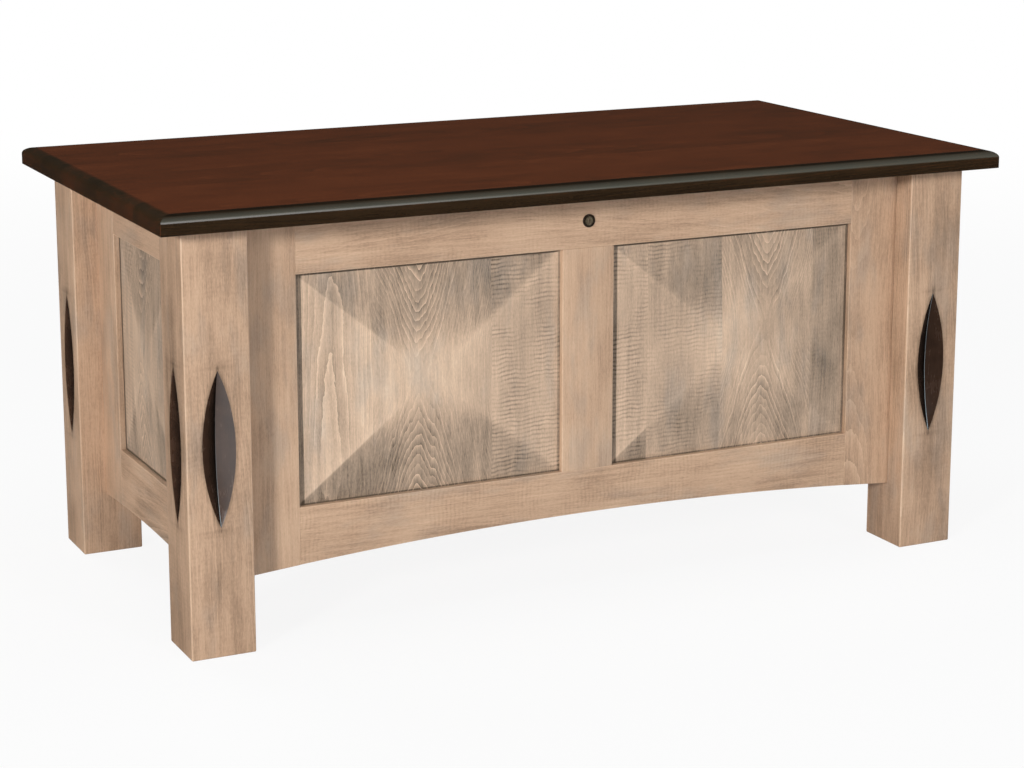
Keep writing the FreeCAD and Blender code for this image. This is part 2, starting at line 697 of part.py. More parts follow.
# ---------------------------------------------------------------- hinges

def knuckle_span(middle, number, gap):
    """Where one of the knuckles lies along the hinge, with a gap at both of its ends."""
    step = f"({cell('hinge_long')} / {KNUCKLES})"
    start = f"{middle} - {cell('hinge_long')} / 2 + {number} * {step}"
    return f"{start} + {gap}", f"{start} + {step} - {gap}"


def hinge_leaf(label, middle, numbers, plate, web, screws):
    """A leaf: a flat plate, and webs that join it to its own knuckles round the pin."""
    gap = f"{cell('knuckle_gap')} / 2"
    radius = cell("knuckle_radius")
    parts = [plate]
    for number in numbers:
        across = knuckle_span(middle, number, gap)
        length = f"({across[1]}) - ({across[0]})"
        parts.append(rod(f"{label}_knuckle_{number}", radius, (across[0], HINGE_Y, HINGE_Z), "+x", length))
        parts.append(web(f"{label}_web_{number}", across))
    bore = rod(f"{label}_bore", f"{cell('hinge_pin_radius')} + {cell('fit_gap')}",
               (f"{middle} - {cell('hinge_long')} / 2 - {PAST}", HINGE_Y, HINGE_Z), "+x",
               f"{cell('hinge_long')} + 2 * {PAST}")
    keep(label, cut(f"{label}_cut", fuse(f"{label}_solid", parts), [bore, *[item[1] for item in screws]]))


def hinge(place, middle):
    """A butt hinge behind the case: one leaf on the back rail, one under the lid's overhang."""
    across = (f"{middle} - {cell('hinge_long')} / 2", f"{middle} + {cell('hinge_long')} / 2")
    clear = f"({cell('knuckle_radius')} + {cell('leaf_clear')})"
    thick = cell("leaf_thick")
    case_top = f"{HINGE_Z} - {clear}"
    case_y = (POST_OUT_Y, f"{POST_OUT_Y} + {thick}")
    lid_z = (f"{TOP} - {thick}", TOP)
    lid_start = f"{HINGE_Y} + {clear}"
    case_plate = block(f"{place}_case_plate", across, case_y,
                       (f"{case_top} - {cell('case_leaf_tall')}", case_top))
    lid_plate = block(f"{place}_lid_plate", across, (lid_start, f"{lid_start} + {cell('lid_leaf_wide')}"),
                      lid_z)
    hinge_leaf(f"{place}_hinge_case_leaf", middle, (0, 2, 4), case_plate,
               lambda name, run: block(name, run, case_y, (f"{case_top} - {PAST}", HINGE_Z)),
               case_hinge_screws[place])
    hinge_leaf(f"{place}_hinge_lid_leaf", middle, (1, 3), lid_plate,
               lambda name, run: block(name, run, (HINGE_Y, f"{lid_start} + {PAST}"), lid_z),
               lid_hinge_screws[place])
    return rod(f"{place}_hinge_pin", cell("hinge_pin_radius"),
               (f"{middle} - {cell('hinge_long')} / 2", HINGE_Y, HINGE_Z), "+x", cell("hinge_long"))


hinge_pins = [hinge(place, middle) for place, middle in hinge_places.items()]
keep("hinge_pins", group("hinge_pins", hinge_pins), len(hinge_pins))


# ---------------------------------------------------------------- lid stays

def arm(name, side, near, half_wide, rise):
    """A flat bar with round ends that runs back from the stay's moving joint.

    It goes stay_reach back and rise up, so its length and its tilt follow from the two.
    """
    thick = cell("arm_thick")
    across = from_wall(side, near, f"{near} + {thick}")
    bar = doc.addObject("Part::Box", f"{name}_bar")
    tilt = f"atan2({rise}; {cell('stay_reach')})"
    bar.Placement.Rotation = TURNS["-y"]       # turns about X; the angle follows from the tilt
    bind(bar, Length=thick, Width=f"hypot({cell('stay_reach')}; {rise})", Height=f"2 * {half_wide}")
    bar.setExpression("Placement.Rotation.Angle", tilt)
    settle(bar, (across[0], f"{STAY_JOINT_Y} + sin({tilt}) * {half_wide}",
                 f"{STAY_JOINT_Z} - cos({tilt}) * {half_wide}"))
    ends = [(STAY_JOINT_Y, STAY_JOINT_Z),
            (f"{STAY_JOINT_Y} + {cell('stay_reach')}", f"{STAY_JOINT_Z} + {rise}")]
    rounds = [rod(f"{name}_round_{number}", half_wide, (across[0], *end), "+x", thick)
              for number, end in enumerate(ends)]
    return fuse(f"{name}_outline", [bar, *rounds])


def cross_rod(name, side, radius, near, far, y_place, z_place):
    """A round rod across the chest, between two distances from one side wall."""
    across = from_wall(side, near, far)
    return rod(name, radius, (across[0], y_place, z_place), "+x", f"({across[1]}) - ({across[0]})")


def stay(name, side):
    """A folding stay: housing on the wall, lever, link and a bracket under the lid."""
    gap = cell("fit_gap")
    lever_far = f"{cell('lever_near')} + {cell('arm_thick')}"
    link_far = f"{cell('link_near')} + {cell('arm_thick')}"
    head_near = f"{link_far} + {cell('stud_head_gap')}"

    plate = block(f"{name}_housing_plate", from_wall(side, "0", cell("housing_plate")),
                  (f"{STAY_CASE_Y} - {cell('housing_half_long')}",
                   f"{STAY_CASE_Y} + {cell('housing_half_long')}"),
                  (f"{STAY_CASE_Z} - {cell('housing_radius')}", f"{STAY_CASE_Z} + {cell('housing_radius')}"))
    barrel = cross_rod(f"{name}_housing_barrel", side, cell("housing_radius"), "0", cell("housing_thick"),
                       STAY_CASE_Y, STAY_CASE_Z)
    bore = cross_rod(f"{name}_housing_bore", side, f"{cell('case_pivot_radius')} + {gap}",
                     cell("pivot_bore_near"), f"{cell('housing_thick')} + {PAST}", STAY_CASE_Y, STAY_CASE_Z)
    holes = [item[1] for item in stay_case_screws[name]]
    keep(f"{name}_stay_housing",
         cut(f"{name}_housing", fuse(f"{name}_housing_solid", [plate, barrel]), [bore, *holes]))

    lever = arm(f"{name}_lever", side, cell("lever_near"), cell("lever_half_wide"), cell("stay_lid_drop"))
    lever_hole = cross_rod(f"{name}_lever_hole", side, f"{cell('case_pivot_radius')} + {gap}",
                           f"{cell('lever_near')} - {PAST}", f"{lever_far} + {PAST}",
                           STAY_CASE_Y, STAY_CASE_Z)
    stud = cross_rod(f"{name}_lever_stud", side, cell("arm_stud_radius"), cell("lever_near"),
                     head_near, STAY_JOINT_Y, STAY_JOINT_Z)
    stud_head = cross_rod(f"{name}_stud_head", side, cell("stud_head_radius"), head_near,
                          f"{head_near} + {cell('stud_head_thick')}", STAY_JOINT_Y, STAY_JOINT_Z)
    drilled = cut(f"{name}_lever_drilled", lever, [lever_hole])
    keep(f"{name}_stay_lever", fuse(f"{name}_lever_whole", [drilled, stud, stud_head]))

    link = arm(f"{name}_link", side, cell("link_near"), cell("link_half_wide"), cell("stay_case_drop"))
    link_holes = [cross_rod(f"{name}_link_hole_{number}", side, f"{cell('arm_stud_radius')} + {gap}",
                            f"{cell('link_near')} - {PAST}", f"{link_far} + {PAST}", *end)
                  for number, end in enumerate(((STAY_JOINT_Y, STAY_JOINT_Z), (STAY_LID_Y, STAY_LID_Z)))]
    keep(f"{name}_stay_link", cut(f"{name}_link_cut", link, link_holes))

    near = cell("bracket_near")
    far = f"{near} + {cell('bracket_thick')}"
    under = f"{TOP} - {cell('bracket_thick')}"
    flange = block(f"{name}_bracket_plate", from_wall(side, near, f"{near} + {cell('bracket_wide')}"),
                   (f"{STAY_LID_Y} - {cell('bracket_half_long')}",
                    f"{STAY_LID_Y} + {cell('bracket_half_long')}"),
                   (under, TOP))
    ear = block(f"{name}_bracket_ear", from_wall(side, near, far),
                (f"{STAY_LID_Y} - {cell('link_half_wide')}", f"{STAY_LID_Y} + {cell('link_half_wide')}"),
                (STAY_LID_Z, TOP))
    ear_round = cross_rod(f"{name}_bracket_round", side, cell("link_half_wide"), near, far,
                          STAY_LID_Y, STAY_LID_Z)
    ear_hole = cross_rod(f"{name}_bracket_hole", side, f"{cell('arm_stud_radius')} + {gap}",
                         f"{near} - {PAST}", f"{far} + {PAST}", STAY_LID_Y, STAY_LID_Z)
    keep(f"{name}_stay_bracket",
         cut(f"{name}_bracket", fuse(f"{name}_bracket_solid", [flange, ear, ear_round]),
             [ear_hole, *[item[1] for item in stay_lid_screws[name]]]))


def stay_pivot(name, side):
    """The headed pin on which the lever turns in its housing."""
    lever_far = f"{cell('lever_near')} + {cell('arm_thick')}"
    head_near = f"{lever_far} + 2 * {cell('fit_gap')}"
    pin = cross_rod(f"{name}_pivot_pin", side, cell("case_pivot_radius"), cell("pivot_pin_near"), head_near,
                    STAY_CASE_Y, STAY_CASE_Z)
    head = cross_rod(f"{name}_pivot_head", side, cell("pivot_head_radius"), head_near,
                     f"{head_near} + {cell('pivot_head_thick')}", STAY_CASE_Y, STAY_CASE_Z)
    return fuse(f"{name}_pivot", [pin, head])


def stay_rivet(name, side):
    """The headed pin that joins the link to the lid's bracket."""
    far = f"{cell('bracket_near')} + {cell('bracket_thick')}"
    pin = cross_rod(f"{name}_rivet_pin", side, cell("arm_stud_radius"), cell("link_near"), far,
                    STAY_LID_Y, STAY_LID_Z)
    head = cross_rod(f"{name}_rivet_head", side, cell("stud_head_radius"), far,
                     f"{far} + {cell('pivot_head_thick')}", STAY_LID_Y, STAY_LID_Z)
    return fuse(f"{name}_rivet", [pin, head])


for name, side in HANDS:
    stay(name, side)
keep("stay_pivots", group("stay_pivots", [stay_pivot(name, side) for name, side in HANDS]), 2)
keep("stay_rivets", group("stay_rivets", [stay_rivet(name, side) for name, side in HANDS]), 2)


# ---------------------------------------------------------------- lock

def lock():
    """A cylinder lock through the rail: barrel, nut, plug with its key slot, and cam."""
    level = cell("lock_centre")
    face = f"-{FRONT_OUT}"
    bezel_front = f"{face} - {cell('lock_bezel_thick')}"
    barrel_end = f"-{FRONT_IN} + {cell('lock_barrel_out')}"
    gap = cell("fit_gap")
    bezel = rod("lock_bezel", cell("lock_bezel_radius"), ("0", bezel_front, level), "+y",
                cell("lock_bezel_thick"))
    barrel = rod("lock_barrel", cell("lock_barrel_radius"), ("0", bezel_front, level), "+y",
                 f"({barrel_end}) - ({bezel_front})")
    bore = rod("lock_bore", f"{cell('plug_radius')} + {gap}", ("0", f"{bezel_front} - {PAST}", level), "+y",
               f"({barrel_end}) - ({bezel_front}) + 2 * {PAST}")
    keep("lock_cylinder", cut("lock_case", fuse("lock_case_solid", [bezel, barrel]), [bore]))

    nut = doc.addObject("Part::Prism", "lock_nut_blank")
    nut.Polygon = 6
    nut.Placement.Rotation = TURNS["+y"]
    bind(nut, Circumradius=cell("lock_nut_radius"), Height=cell("lock_nut_thick"))
    settle(nut, ("0", f"-{FRONT_IN}", level))
    thread = rod("lock_nut_bore", f"{cell('lock_barrel_radius')} + {gap}",
                 ("0", f"-{FRONT_IN} - {PAST}", level), "+y", f"{cell('lock_nut_thick')} + 2 * {PAST}")
    keep("lock_nut", cut("lock_nut_whole", nut, [thread]))

    plug_front = f"{bezel_front} + {cell('plug_sunk')}"
    half_tang = f"{cell('tang_side')} / 2"
    plug = rod("lock_plug_round", cell("plug_radius"), ("0", plug_front, level), "+y",
               f"({CAM_FRONT}) - ({plug_front})")
    tang = block("lock_tang", (f"-{half_tang}", half_tang), (f"{CAM_FRONT} - {PAST}", CAM_BACK),
                 (f"{level} - {half_tang}", f"{level} + {half_tang}"))
    slot = block("lock_key_slot", (f"-{cell('key_slot_wide')} / 2", f"{cell('key_slot_wide')} / 2"),
                 (f"{plug_front} - {PAST}", f"{plug_front} + {cell('key_slot_deep')}"),
                 (f"{level} - {cell('key_slot_tall')} / 2", f"{level} + {cell('key_slot_tall')} / 2"))
    keep("lock_plug", cut("lock_plug_whole", fuse("lock_plug_solid", [plug, tang]), [slot]))

    half = cell("cam_half_wide")
    arm_box = block("lock_cam_arm", (f"-{half}", half), (CAM_FRONT, CAM_BACK),
                    (level, f"{level} + {cell('cam_reach')}"))
    hub = rod("lock_cam_hub", half, ("0", CAM_FRONT, level), "+y", cell("cam_thick"))
    hole = block("lock_cam_hole", (f"-{half_tang} - {gap}", f"{half_tang} + {gap}"),
                 (f"{CAM_FRONT} - {PAST}", f"{CAM_BACK} + {PAST}"),
                 (f"{level} - {half_tang} - {gap}", f"{level} + {half_tang} + {gap}"))
    keep("lock_cam", cut("lock_cam_whole", fuse("lock_cam_solid", [arm_box, hub]), [hole]))


def strike():
    """The lid's hook: a flange under the lid, a leg behind the cam and a lip below it."""
    thick = cell("strike_thick")
    across = (cell("strike_near"), cell("strike_far"))
    leg_back = f"{STRIKE_LEG} + {thick}"
    flange = block("strike_flange_plate", across, (STRIKE_LEG, f"{STRIKE_LEG} + {cell('strike_flange')}"),
                   (f"{TOP} - {thick}", TOP))
    leg = block("strike_leg", across, (STRIKE_LEG, leg_back), (cell("strike_low"), TOP))
    lip = block("strike_lip_plate", across, (f"{leg_back} - {cell('strike_lip')}", leg_back),
                (cell("strike_low"), f"{cell('strike_low')} + {thick}"))
    keep("lock_strike", cut("lock_strike_whole", fuse("lock_strike_solid", [flange, leg, lip]),
                            [item[1] for item in strike_screws]))


lock()
strike()


# ---------------------------------------------------------------- recompute, test and export

doc.recompute()
for item in doc.Objects:
    if {"Invalid", "Error"} & set(item.State):
        raise RuntimeError(f"{item.Name} did not recompute: {item.State}")
for label, (item, solids) in pieces.items():
    shape = item.Shape
    if shape.isNull() or not shape.isValid():
        raise RuntimeError(f"{label} has no valid shape")
    if len(shape.Solids) != solids:
        raise RuntimeError(f"{label} has {len(shape.Solids)} solids, not {solids}")
    shape.exportStep(f"parts/{label}.step")
print(f"{len(pieces)} sub-parts written")
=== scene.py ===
# %% [markdown]
# # A blanket chest with pyramid panels
# The chest is a box of rails, stiles and panels held between four square posts, under a heavy
# overhanging lid. Every visible wooden piece is worked out here with numpy as a surface of two
# parameters, and laid exactly where the fixed frame has its solid. The metal parts keep their
# solids and get finishes. First the frame is loaded, and a helper measures the box of each part.
# The finished model may not outgrow it.

import math

import bmesh
import bpy
import numpy as np
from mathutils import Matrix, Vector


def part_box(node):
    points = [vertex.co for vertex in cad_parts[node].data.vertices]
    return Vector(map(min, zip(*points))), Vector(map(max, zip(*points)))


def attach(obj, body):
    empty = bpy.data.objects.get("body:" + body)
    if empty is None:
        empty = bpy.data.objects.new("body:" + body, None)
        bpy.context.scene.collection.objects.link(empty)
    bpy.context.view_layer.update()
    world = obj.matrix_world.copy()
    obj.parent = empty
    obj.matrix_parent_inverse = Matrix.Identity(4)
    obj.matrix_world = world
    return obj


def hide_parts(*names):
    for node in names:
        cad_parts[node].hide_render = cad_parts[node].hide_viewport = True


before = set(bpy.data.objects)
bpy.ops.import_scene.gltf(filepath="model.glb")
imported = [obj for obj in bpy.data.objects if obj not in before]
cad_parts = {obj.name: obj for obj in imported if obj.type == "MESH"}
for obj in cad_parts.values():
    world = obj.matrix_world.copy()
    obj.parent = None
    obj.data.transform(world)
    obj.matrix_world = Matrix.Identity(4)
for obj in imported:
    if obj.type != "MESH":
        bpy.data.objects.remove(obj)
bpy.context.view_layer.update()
MM = 0.001
scene = bpy.context.scene
scene.view_settings.view_transform = "Standard"


# %% [markdown]
# ## The camera
# A long lens far away keeps a piece of furniture from looking stretched. The camera stands to the
# left of the chest, at about the height of a person's waist, and looks a little down. A small
# vertical shift of the lens keeps the posts closer to upright than tilting alone would.

# %% Camera
PICTURE_WIDTH, PICTURE_HEIGHT, SENSOR_MM = 1024, 768, 36.0
FOCAL_PX, AXIS_ROW = 2421.6, 294.0
CAMERA_PLACE = (-1.3107, -2.7155, 0.9607)
CAMERA_TURN, CAMERA_TILT = 0.45146, 0.20757

camera = bpy.data.objects.new("camera", bpy.data.cameras.new("camera"))
scene.collection.objects.link(camera)
camera.data.sensor_width = SENSOR_MM
camera.data.lens = FOCAL_PX / PICTURE_WIDTH * SENSOR_MM
camera.data.shift_y = (AXIS_ROW - PICTURE_HEIGHT / 2) / PICTURE_WIDTH
camera.location = CAMERA_PLACE
camera.rotation_euler = (math.pi / 2 - CAMERA_TILT, 0, -CAMERA_TURN)
scene.camera = camera
print("lens:", round(camera.data.lens, 1), "mm")


# %% [markdown]
# ## Writing shader recipes
# A finish is a short chain of shader nodes. The little class below lets each finish be written as
# a recipe, one call for each node, so that the cells that follow read like steps: lay the grain,
# add fibres, add blotches, colour the result. Colours are given as the usual 0 to 255 numbers and
# turned into the linear light that the renderer works in.


# %% Recipe helper
def colour(red, green, blue):
    """Display numbers from 0 to 255 as linear light: each channel raised along the sRGB curve."""
    share = np.array([red, green, blue]) / 255
    linear = np.where(share <= 0.04045, share / 12.92, ((share + 0.055) / 1.055) ** 2.4)
    return (*linear.tolist(), 1.0)


class Recipe:
    """The shader of one material, or of the world, built up node by node."""

    def __init__(self, owner):
        self.owner = owner
        owner.use_nodes = True
        self.tree = owner.node_tree
        self.tree.nodes.clear()

    def node(self, kind, sockets=None, **settings):
        """Adds a node. Sockets take links or constants, and settings are the node's own options."""
        made = self.tree.nodes.new(kind)
        for key, value in settings.items():
            setattr(made, key, value)
        for key, value in (sockets or {}).items():
            if isinstance(value, bpy.types.NodeSocket):
                self.tree.links.new(value, made.inputs[key])
            else:
                made.inputs[key].default_value = value
        return made

    def math(self, operation, *values, clamp=False):
        made = self.node("ShaderNodeMath", dict(enumerate(values)), operation=operation)
        made.use_clamp = clamp
        return made.outputs[0]

    def add(self, *values):
        total = values[0]
        for value in values[1:]:
            total = self.math("ADD", total, value)
        return total

    def times(self, a, b):
        return self.math("MULTIPLY", a, b)

    def vector(self, operation, *vectors, result="Vector"):
        made = self.node("ShaderNodeVectorMath", dict(enumerate(vectors)), operation=operation)
        return made.outputs[result]

    def split(self, vector):
        return self.node("ShaderNodeSeparateXYZ", {0: vector}).outputs

    def noise(self, place, stretch, detail=2.0, rough=0.5):
        """Noise centred on 0. Stretch is how often it repeats along each direction of the grain."""
        scaled = self.vector("MULTIPLY", place, stretch)
        made = self.node(
            "ShaderNodeTexNoise", {"Vector": scaled, "Scale": 1.0, "Detail": detail, "Roughness": rough}
        )
        return self.math("SUBTRACT", made.outputs[0], 0.5)

    def fade(self, value, start, end, low=0.0, high=1.0):
        """Low up to the start, high after the end, and a smooth S between them."""
        made = self.node(
            "ShaderNodeMapRange",
            {"Value": value, 1: start, 2: end, 3: low, 4: high},
            interpolation_type="SMOOTHSTEP",
        )
        return made.outputs[0]

    def ramp(self, factor, stops):
        """The colour at the factor, between stops that are a place and a colour each."""
        made = self.node("ShaderNodeValToRGB", {0: factor})
        points = made.color_ramp.elements
        points[0].position, points[0].color = stops[0]
        points[1].position, points[1].color = stops[-1]
        for place, shade in stops[1:-1]:
            points.new(place).color = shade
        return made.outputs[0]

    def blend(self, factor, first, second, way="MIX"):
        """First x (1 - factor) + second x factor, where multiplying puts first x second for second."""
        made = self.node("ShaderNodeMix", {0: factor, 6: first, 7: second}, data_type="RGBA", blend_type=way)
        return made.outputs[2]

    def finish(self, base, roughness, height, depth, metallic=0.0):
        """Ends the recipe: the shader takes its colour, roughness and a bump of the given depth."""
        bump = self.node("ShaderNodeBump", {"Height": height, "Distance": depth, "Strength": 1.0})
        looks = {"Base Color": base, "Roughness": roughness, "Metallic": metallic, "Normal": bump.outputs[0]}
        shader = self.node("ShaderNodeBsdfPrincipled", looks)
        self.node("ShaderNodeOutputMaterial", {0: shader.outputs[0]})
        return self.owner


print("recipe helper ready")


# %% [markdown]
# ## Wood
# A board is a slice of a tree, so its figure is the tree's yearly rings cut open. The rings are
# tubes round the pith. Where a board runs nearly along them the cut shows long lines, and where the
# stem tapers it shows the nested arches that are called cathedrals. So the recipe works like the
# tree: it measures how far each point is from the pith, adds the taper along the stem, divides that
# by the width of a year, and draws a line at each year's end. Fibres, pores, curl and blotches of
# stain go on top. The pieces carry attributes that say where the pith is, so one recipe serves
# every board of a finish: "grain" is the point across, into and along the board in millimetres,
# "figure" holds the pith's distance, its lean and how strongly the years show, "rings" holds the
# width of a year, how sharply the rings peak and how jagged they are, "board" holds curl, tone and a
# number that makes each board its own, and the last one lightens or darkens each corner: stain and
# wear, and also painted shade and painted highlights. The years show best over the pith and fade
# to the sides and in the calm middle, where the cut runs along them.


# %% Wood recipe
DAMP_TINT = (0.74, 0.84, 0.96, 1.0)


def wood(name, shades, year, strength, satin, grey=0.0, bump_depth=0.00006):
    """Distance = length of (across, pith distance) + peak x across + lean x distance along the
    stem, plus a slow sway and a fine wobble. Its remainder over a year's width is the year line.
    The tone is 0.5, plus the board's own tone, plus each mark times its strength, and shades turns
    it into a colour."""
    mix = Recipe(bpy.data.materials.new(name))
    grain, figure, rings, board, tone_and_painted_light = (
        mix.node("ShaderNodeAttribute", attribute_name=kind).outputs
        for kind in ("grain", "figure", "rings", "board", "tone_and_painted_light")
    )
    across, into, along = mix.split(grain["Vector"])[:3]
    pith, lean, lines = mix.split(figure["Vector"])[:3]
    width, peak, jag = mix.split(rings["Vector"])[:3]
    curl, tone, number = mix.split(board["Vector"])[:3]
    jump = {0: mix.times(number, 311.0), 1: mix.times(number, 173.0), 2: number}
    place = mix.vector("ADD", grain["Vector"], mix.node("ShaderNodeCombineXYZ", jump).outputs[0])

    # Each triple is how often a mark repeats in a millimetre across, into and along the board.
    # First, how far each point is from the pith, with the stem's taper and its irregular growth.
    sway = mix.times(mix.noise(place, (0.014, 0.014, 0.005), 1.0), 26.0)
    wobble = mix.times(mix.noise(place, (0.075, 0.075, 0.009), 2.0), jag)
    shiver = mix.times(mix.noise(place, (0.2, 0.2, 0.09), 2.0), 1.2)
    stem = mix.math("SQRT", mix.add(mix.times(along, along), 900.0))
    deep = mix.add(pith, into)
    swayed = mix.add(across, sway)
    square = mix.times(swayed, swayed)
    distance = mix.math("SQRT", mix.add(square, mix.times(deep, deep)))
    ridge = mix.times(mix.math("SQRT", mix.add(square, 9.0)), peak)
    distance = mix.add(distance, ridge, mix.times(stem, lean), wobble, shiver)

    # A line at each year's end: pale up to it, dark after it, and of a weight of its own.
    years = mix.math("DIVIDE", distance, mix.times(width, year))
    part = mix.math("FRACT", years)
    count = mix.add(mix.math("FLOOR", years), mix.times(number, 17.0))
    weight = mix.node("ShaderNodeTexWhiteNoise", {"W": count}, noise_dimensions="1D").outputs[0]
    pale = mix.math("POWER", part, 5.0)
    dark = mix.math("POWER", mix.math("SUBTRACT", 1.0, part), 3.0)
    line = mix.math("SUBTRACT", pale, mix.times(dark, 0.55))
    weight = mix.add(mix.times(mix.times(weight, weight), 1.1), 0.2)
    over = mix.fade(mix.math("ABSOLUTE", swayed), 14.0, 70.0, 1.0, 0.5)
    calm = mix.fade(mix.math("ABSOLUTE", along), 6.0, 64.0, 0.22, 1.0)
    line = mix.times(mix.times(line, weight), mix.times(lines, mix.times(over, calm)))

    # Fibres, pores and stain, from fine to coarse.
    fibre = mix.noise(place, (0.62, 0.62, 0.016), 4.0, 0.7)
    speckle = mix.noise(place, (0.75, 0.75, 0.22), 3.0, 0.7)
    pores = mix.fade(mix.noise(place, (1.3, 1.3, 0.1), 2.0), 0.08, 0.24)
    streak = mix.noise(place, (0.12, 0.12, 0.004), 2.0)
    blotch = mix.noise(place, (0.02, 0.02, 0.011), 3.0, 0.55)

    # Curl: a wave along the board, bent and broken into patches.
    bend = mix.times(mix.noise(place, (0.045, 0.045, 0.022), 2.0), 10.0)
    wave = mix.math("SINE", mix.add(mix.times(along, 1.2), mix.times(across, -0.03), bend))
    furrow = mix.fade(wave, 0.2, 0.98)
    swell = mix.fade(wave, 0.1, -0.95)
    broken = mix.fade(mix.noise(place, (0.05, 0.05, 0.09), 2.0), -0.3, 0.2)
    patch = mix.fade(mix.noise(place, (0.022, 0.022, 0.018), 1.0), -0.2, 0.16)
    ripple = mix.noise(place, (0.05, 0.05, 0.2), 3.0, 0.6)
    band = mix.add(mix.times(swell, 0.5), mix.times(furrow, -1.0), mix.times(ripple, 1.6))
    curls = mix.times(mix.times(mix.times(band, broken), patch), curl)
    soft = mix.fade(curl, 0.3, 1.3, 1.0, 0.5)

    # The corner values add stain and wear, and also painted shade and highlights.
    tones = mix.add(
        0.5,
        tone,
        tone_and_painted_light["Fac"],
        mix.times(line, 0.5 * strength),
        mix.times(mix.times(fibre, soft), 0.7 * strength),
        mix.times(speckle, 0.55 * strength),
        mix.times(pores, -0.16 * strength),
        mix.times(streak, 0.4 * strength),
        mix.times(blotch, 0.75 * strength),
        mix.times(curls, 0.2 * strength),
    )
    damp = mix.noise(place, (0.026, 0.026, 0.009), 3.0, 0.6)
    cast = mix.fade(damp, -0.02, 0.2, 0.0, grey)
    stops = [(spot, colour(*shade)) for spot, shade in shades.items()]
    shade = mix.blend(cast, mix.ramp(tones, stops), DAMP_TINT, "MULTIPLY")
    relief = mix.add(fibre, mix.times(line, 0.4), mix.times(curls, 0.8))
    gloss = mix.add(satin, mix.times(fibre, 0.12), mix.times(blotch, 0.10))
    return mix.finish(shade, gloss, relief, bump_depth)


stained_maple = wood(
    "stained_maple",
    {
        0.0: (96, 76, 60),
        0.25: (155, 127, 104),
        0.5: (196, 163, 136),
        0.75: (215, 184, 156),
        1.0: (230, 205, 178),
    },
    year=3.1,
    strength=0.7,
    satin=0.46,
    grey=0.55,
)
figured_maple = wood(
    "figured_maple",
    {
        0.0: (96, 82, 68),
        0.25: (156, 137, 119),
        0.5: (194, 168, 145),
        0.75: (220, 192, 166),
        1.0: (242, 217, 190),
    },
    year=2.7,
    strength=0.8,
    satin=0.42,
    grey=0.5,
)
plain_maple = wood(
    "plain_maple",
    {0.0: (104, 84, 66), 0.3: (158, 132, 108), 0.6: (192, 163, 136), 1.0: (220, 193, 164)},
    year=3.4,
    strength=0.7,
    satin=0.55,
)
dark_lid = wood(
    "dark_lid",
    {0.0: (22, 15, 9), 0.24: (50, 36, 22), 0.5: (102, 51, 27), 1.0: (146, 80, 46)},
    year=3.6,
    strength=0.3,
    satin=0.14,
    bump_depth=0.00003,
)
cedar = wood(
    "cedar",
    {0.0: (92, 44, 28), 0.3: (150, 88, 60), 0.6: (188, 122, 88), 1.0: (224, 172, 132)},
    year=2.2,
    strength=1.0,
    satin=0.6,
)
woods = (stained_maple, figured_maple, plain_maple, dark_lid, cedar)
print("woods:", [made.name for made in woods])


# %% [markdown]
# ## Paint and metal
# The carved lenses are painted with a glossy black-brown, darkened with painted shade towards the
# valley and lit along it by a painted highlight. The hinges are aged brass, the lock is dark bronze
# with a paler, worn plug whose key slot is blackened deeper in with painted shade, the lid stays are
# coated steel and their pins are bright. None of these is one flat colour: a cloudy noise stands
# for handling and age, and a fine one gives the surface its texture. The metals keep their solids,
# whose points are in metres, so the noises read Object coordinates.


# %% Paint and metal recipes
# Painted shade for the lens valleys, a painted highlight along them, and painted shade in the key slot.
PAINTED_SHADE, PAINTED_HIGHLIGHT, SLOT_SHADE = colour(4, 2, 1), colour(168, 184, 192), colour(6, 4, 3)


def finish_of(
    name,
    dark,
    light,
    metal,
    rough,
    cloud=60.0,
    fine=900.0,
    drawn=1.0,
    depth=0.00002,
    worked=False,
    slot_shade_depths=None,
):
    """Two scales of noise mix a dark and a light shade and vary the gloss a little. Drawn stretches
    the fine one upward into brush strokes. Worked paint reads its corner values: below 0 it sinks
    to black, a painted shade, and above 0 it turns pale, a painted highlight. Painted shade
    blackens what lies deeper along Y than the two depths given for it, as in a key slot."""
    mix = Recipe(bpy.data.materials.new(name))
    place = mix.node("ShaderNodeTexCoord").outputs["Object"]
    clouds = mix.noise(place, (cloud,) * 3, 3.0, 0.6)
    grit = mix.noise(place, (fine, fine, fine / drawn), 2.0)
    tones = mix.add(0.5, mix.times(clouds, 0.9), mix.times(grit, 0.3))
    shade = mix.ramp(tones, [(0.2, colour(*dark)), (0.8, colour(*light))])
    gloss = mix.add(rough, mix.times(clouds, 0.18), mix.times(grit, 0.08))
    if worked:
        tone_and_painted_light = mix.node("ShaderNodeAttribute", attribute_name="tone_and_painted_light").outputs["Fac"]
        for amount, tint in ((mix.times(tone_and_painted_light, -1.0), PAINTED_SHADE), (tone_and_painted_light, PAINTED_HIGHLIGHT)):
            shade = mix.blend(mix.math("MAXIMUM", amount, 0.0, clamp=True), shade, tint)
    if slot_shade_depths:
        shade = mix.blend(mix.fade(mix.split(place)[1], *slot_shade_depths), shade, SLOT_SHADE)
    return mix.finish(shade, gloss, mix.add(grit, clouds), depth, metal)


# Its corner values carry painted shade towards the valleys and a painted highlight along them.
gouge_paint = finish_of(
    "gouge_paint", (46, 31, 23), (84, 60, 46), 0.0, 0.26, 30.0, 700.0, drawn=30.0, depth=0.000006, worked=True
)
antique_brass = finish_of("antique_brass", (108, 84, 42), (176, 142, 80), 1.0, 0.34)
dark_bronze = finish_of("dark_bronze", (20, 14, 9), (62, 49, 37), 0.5, 0.3, cloud=160.0)
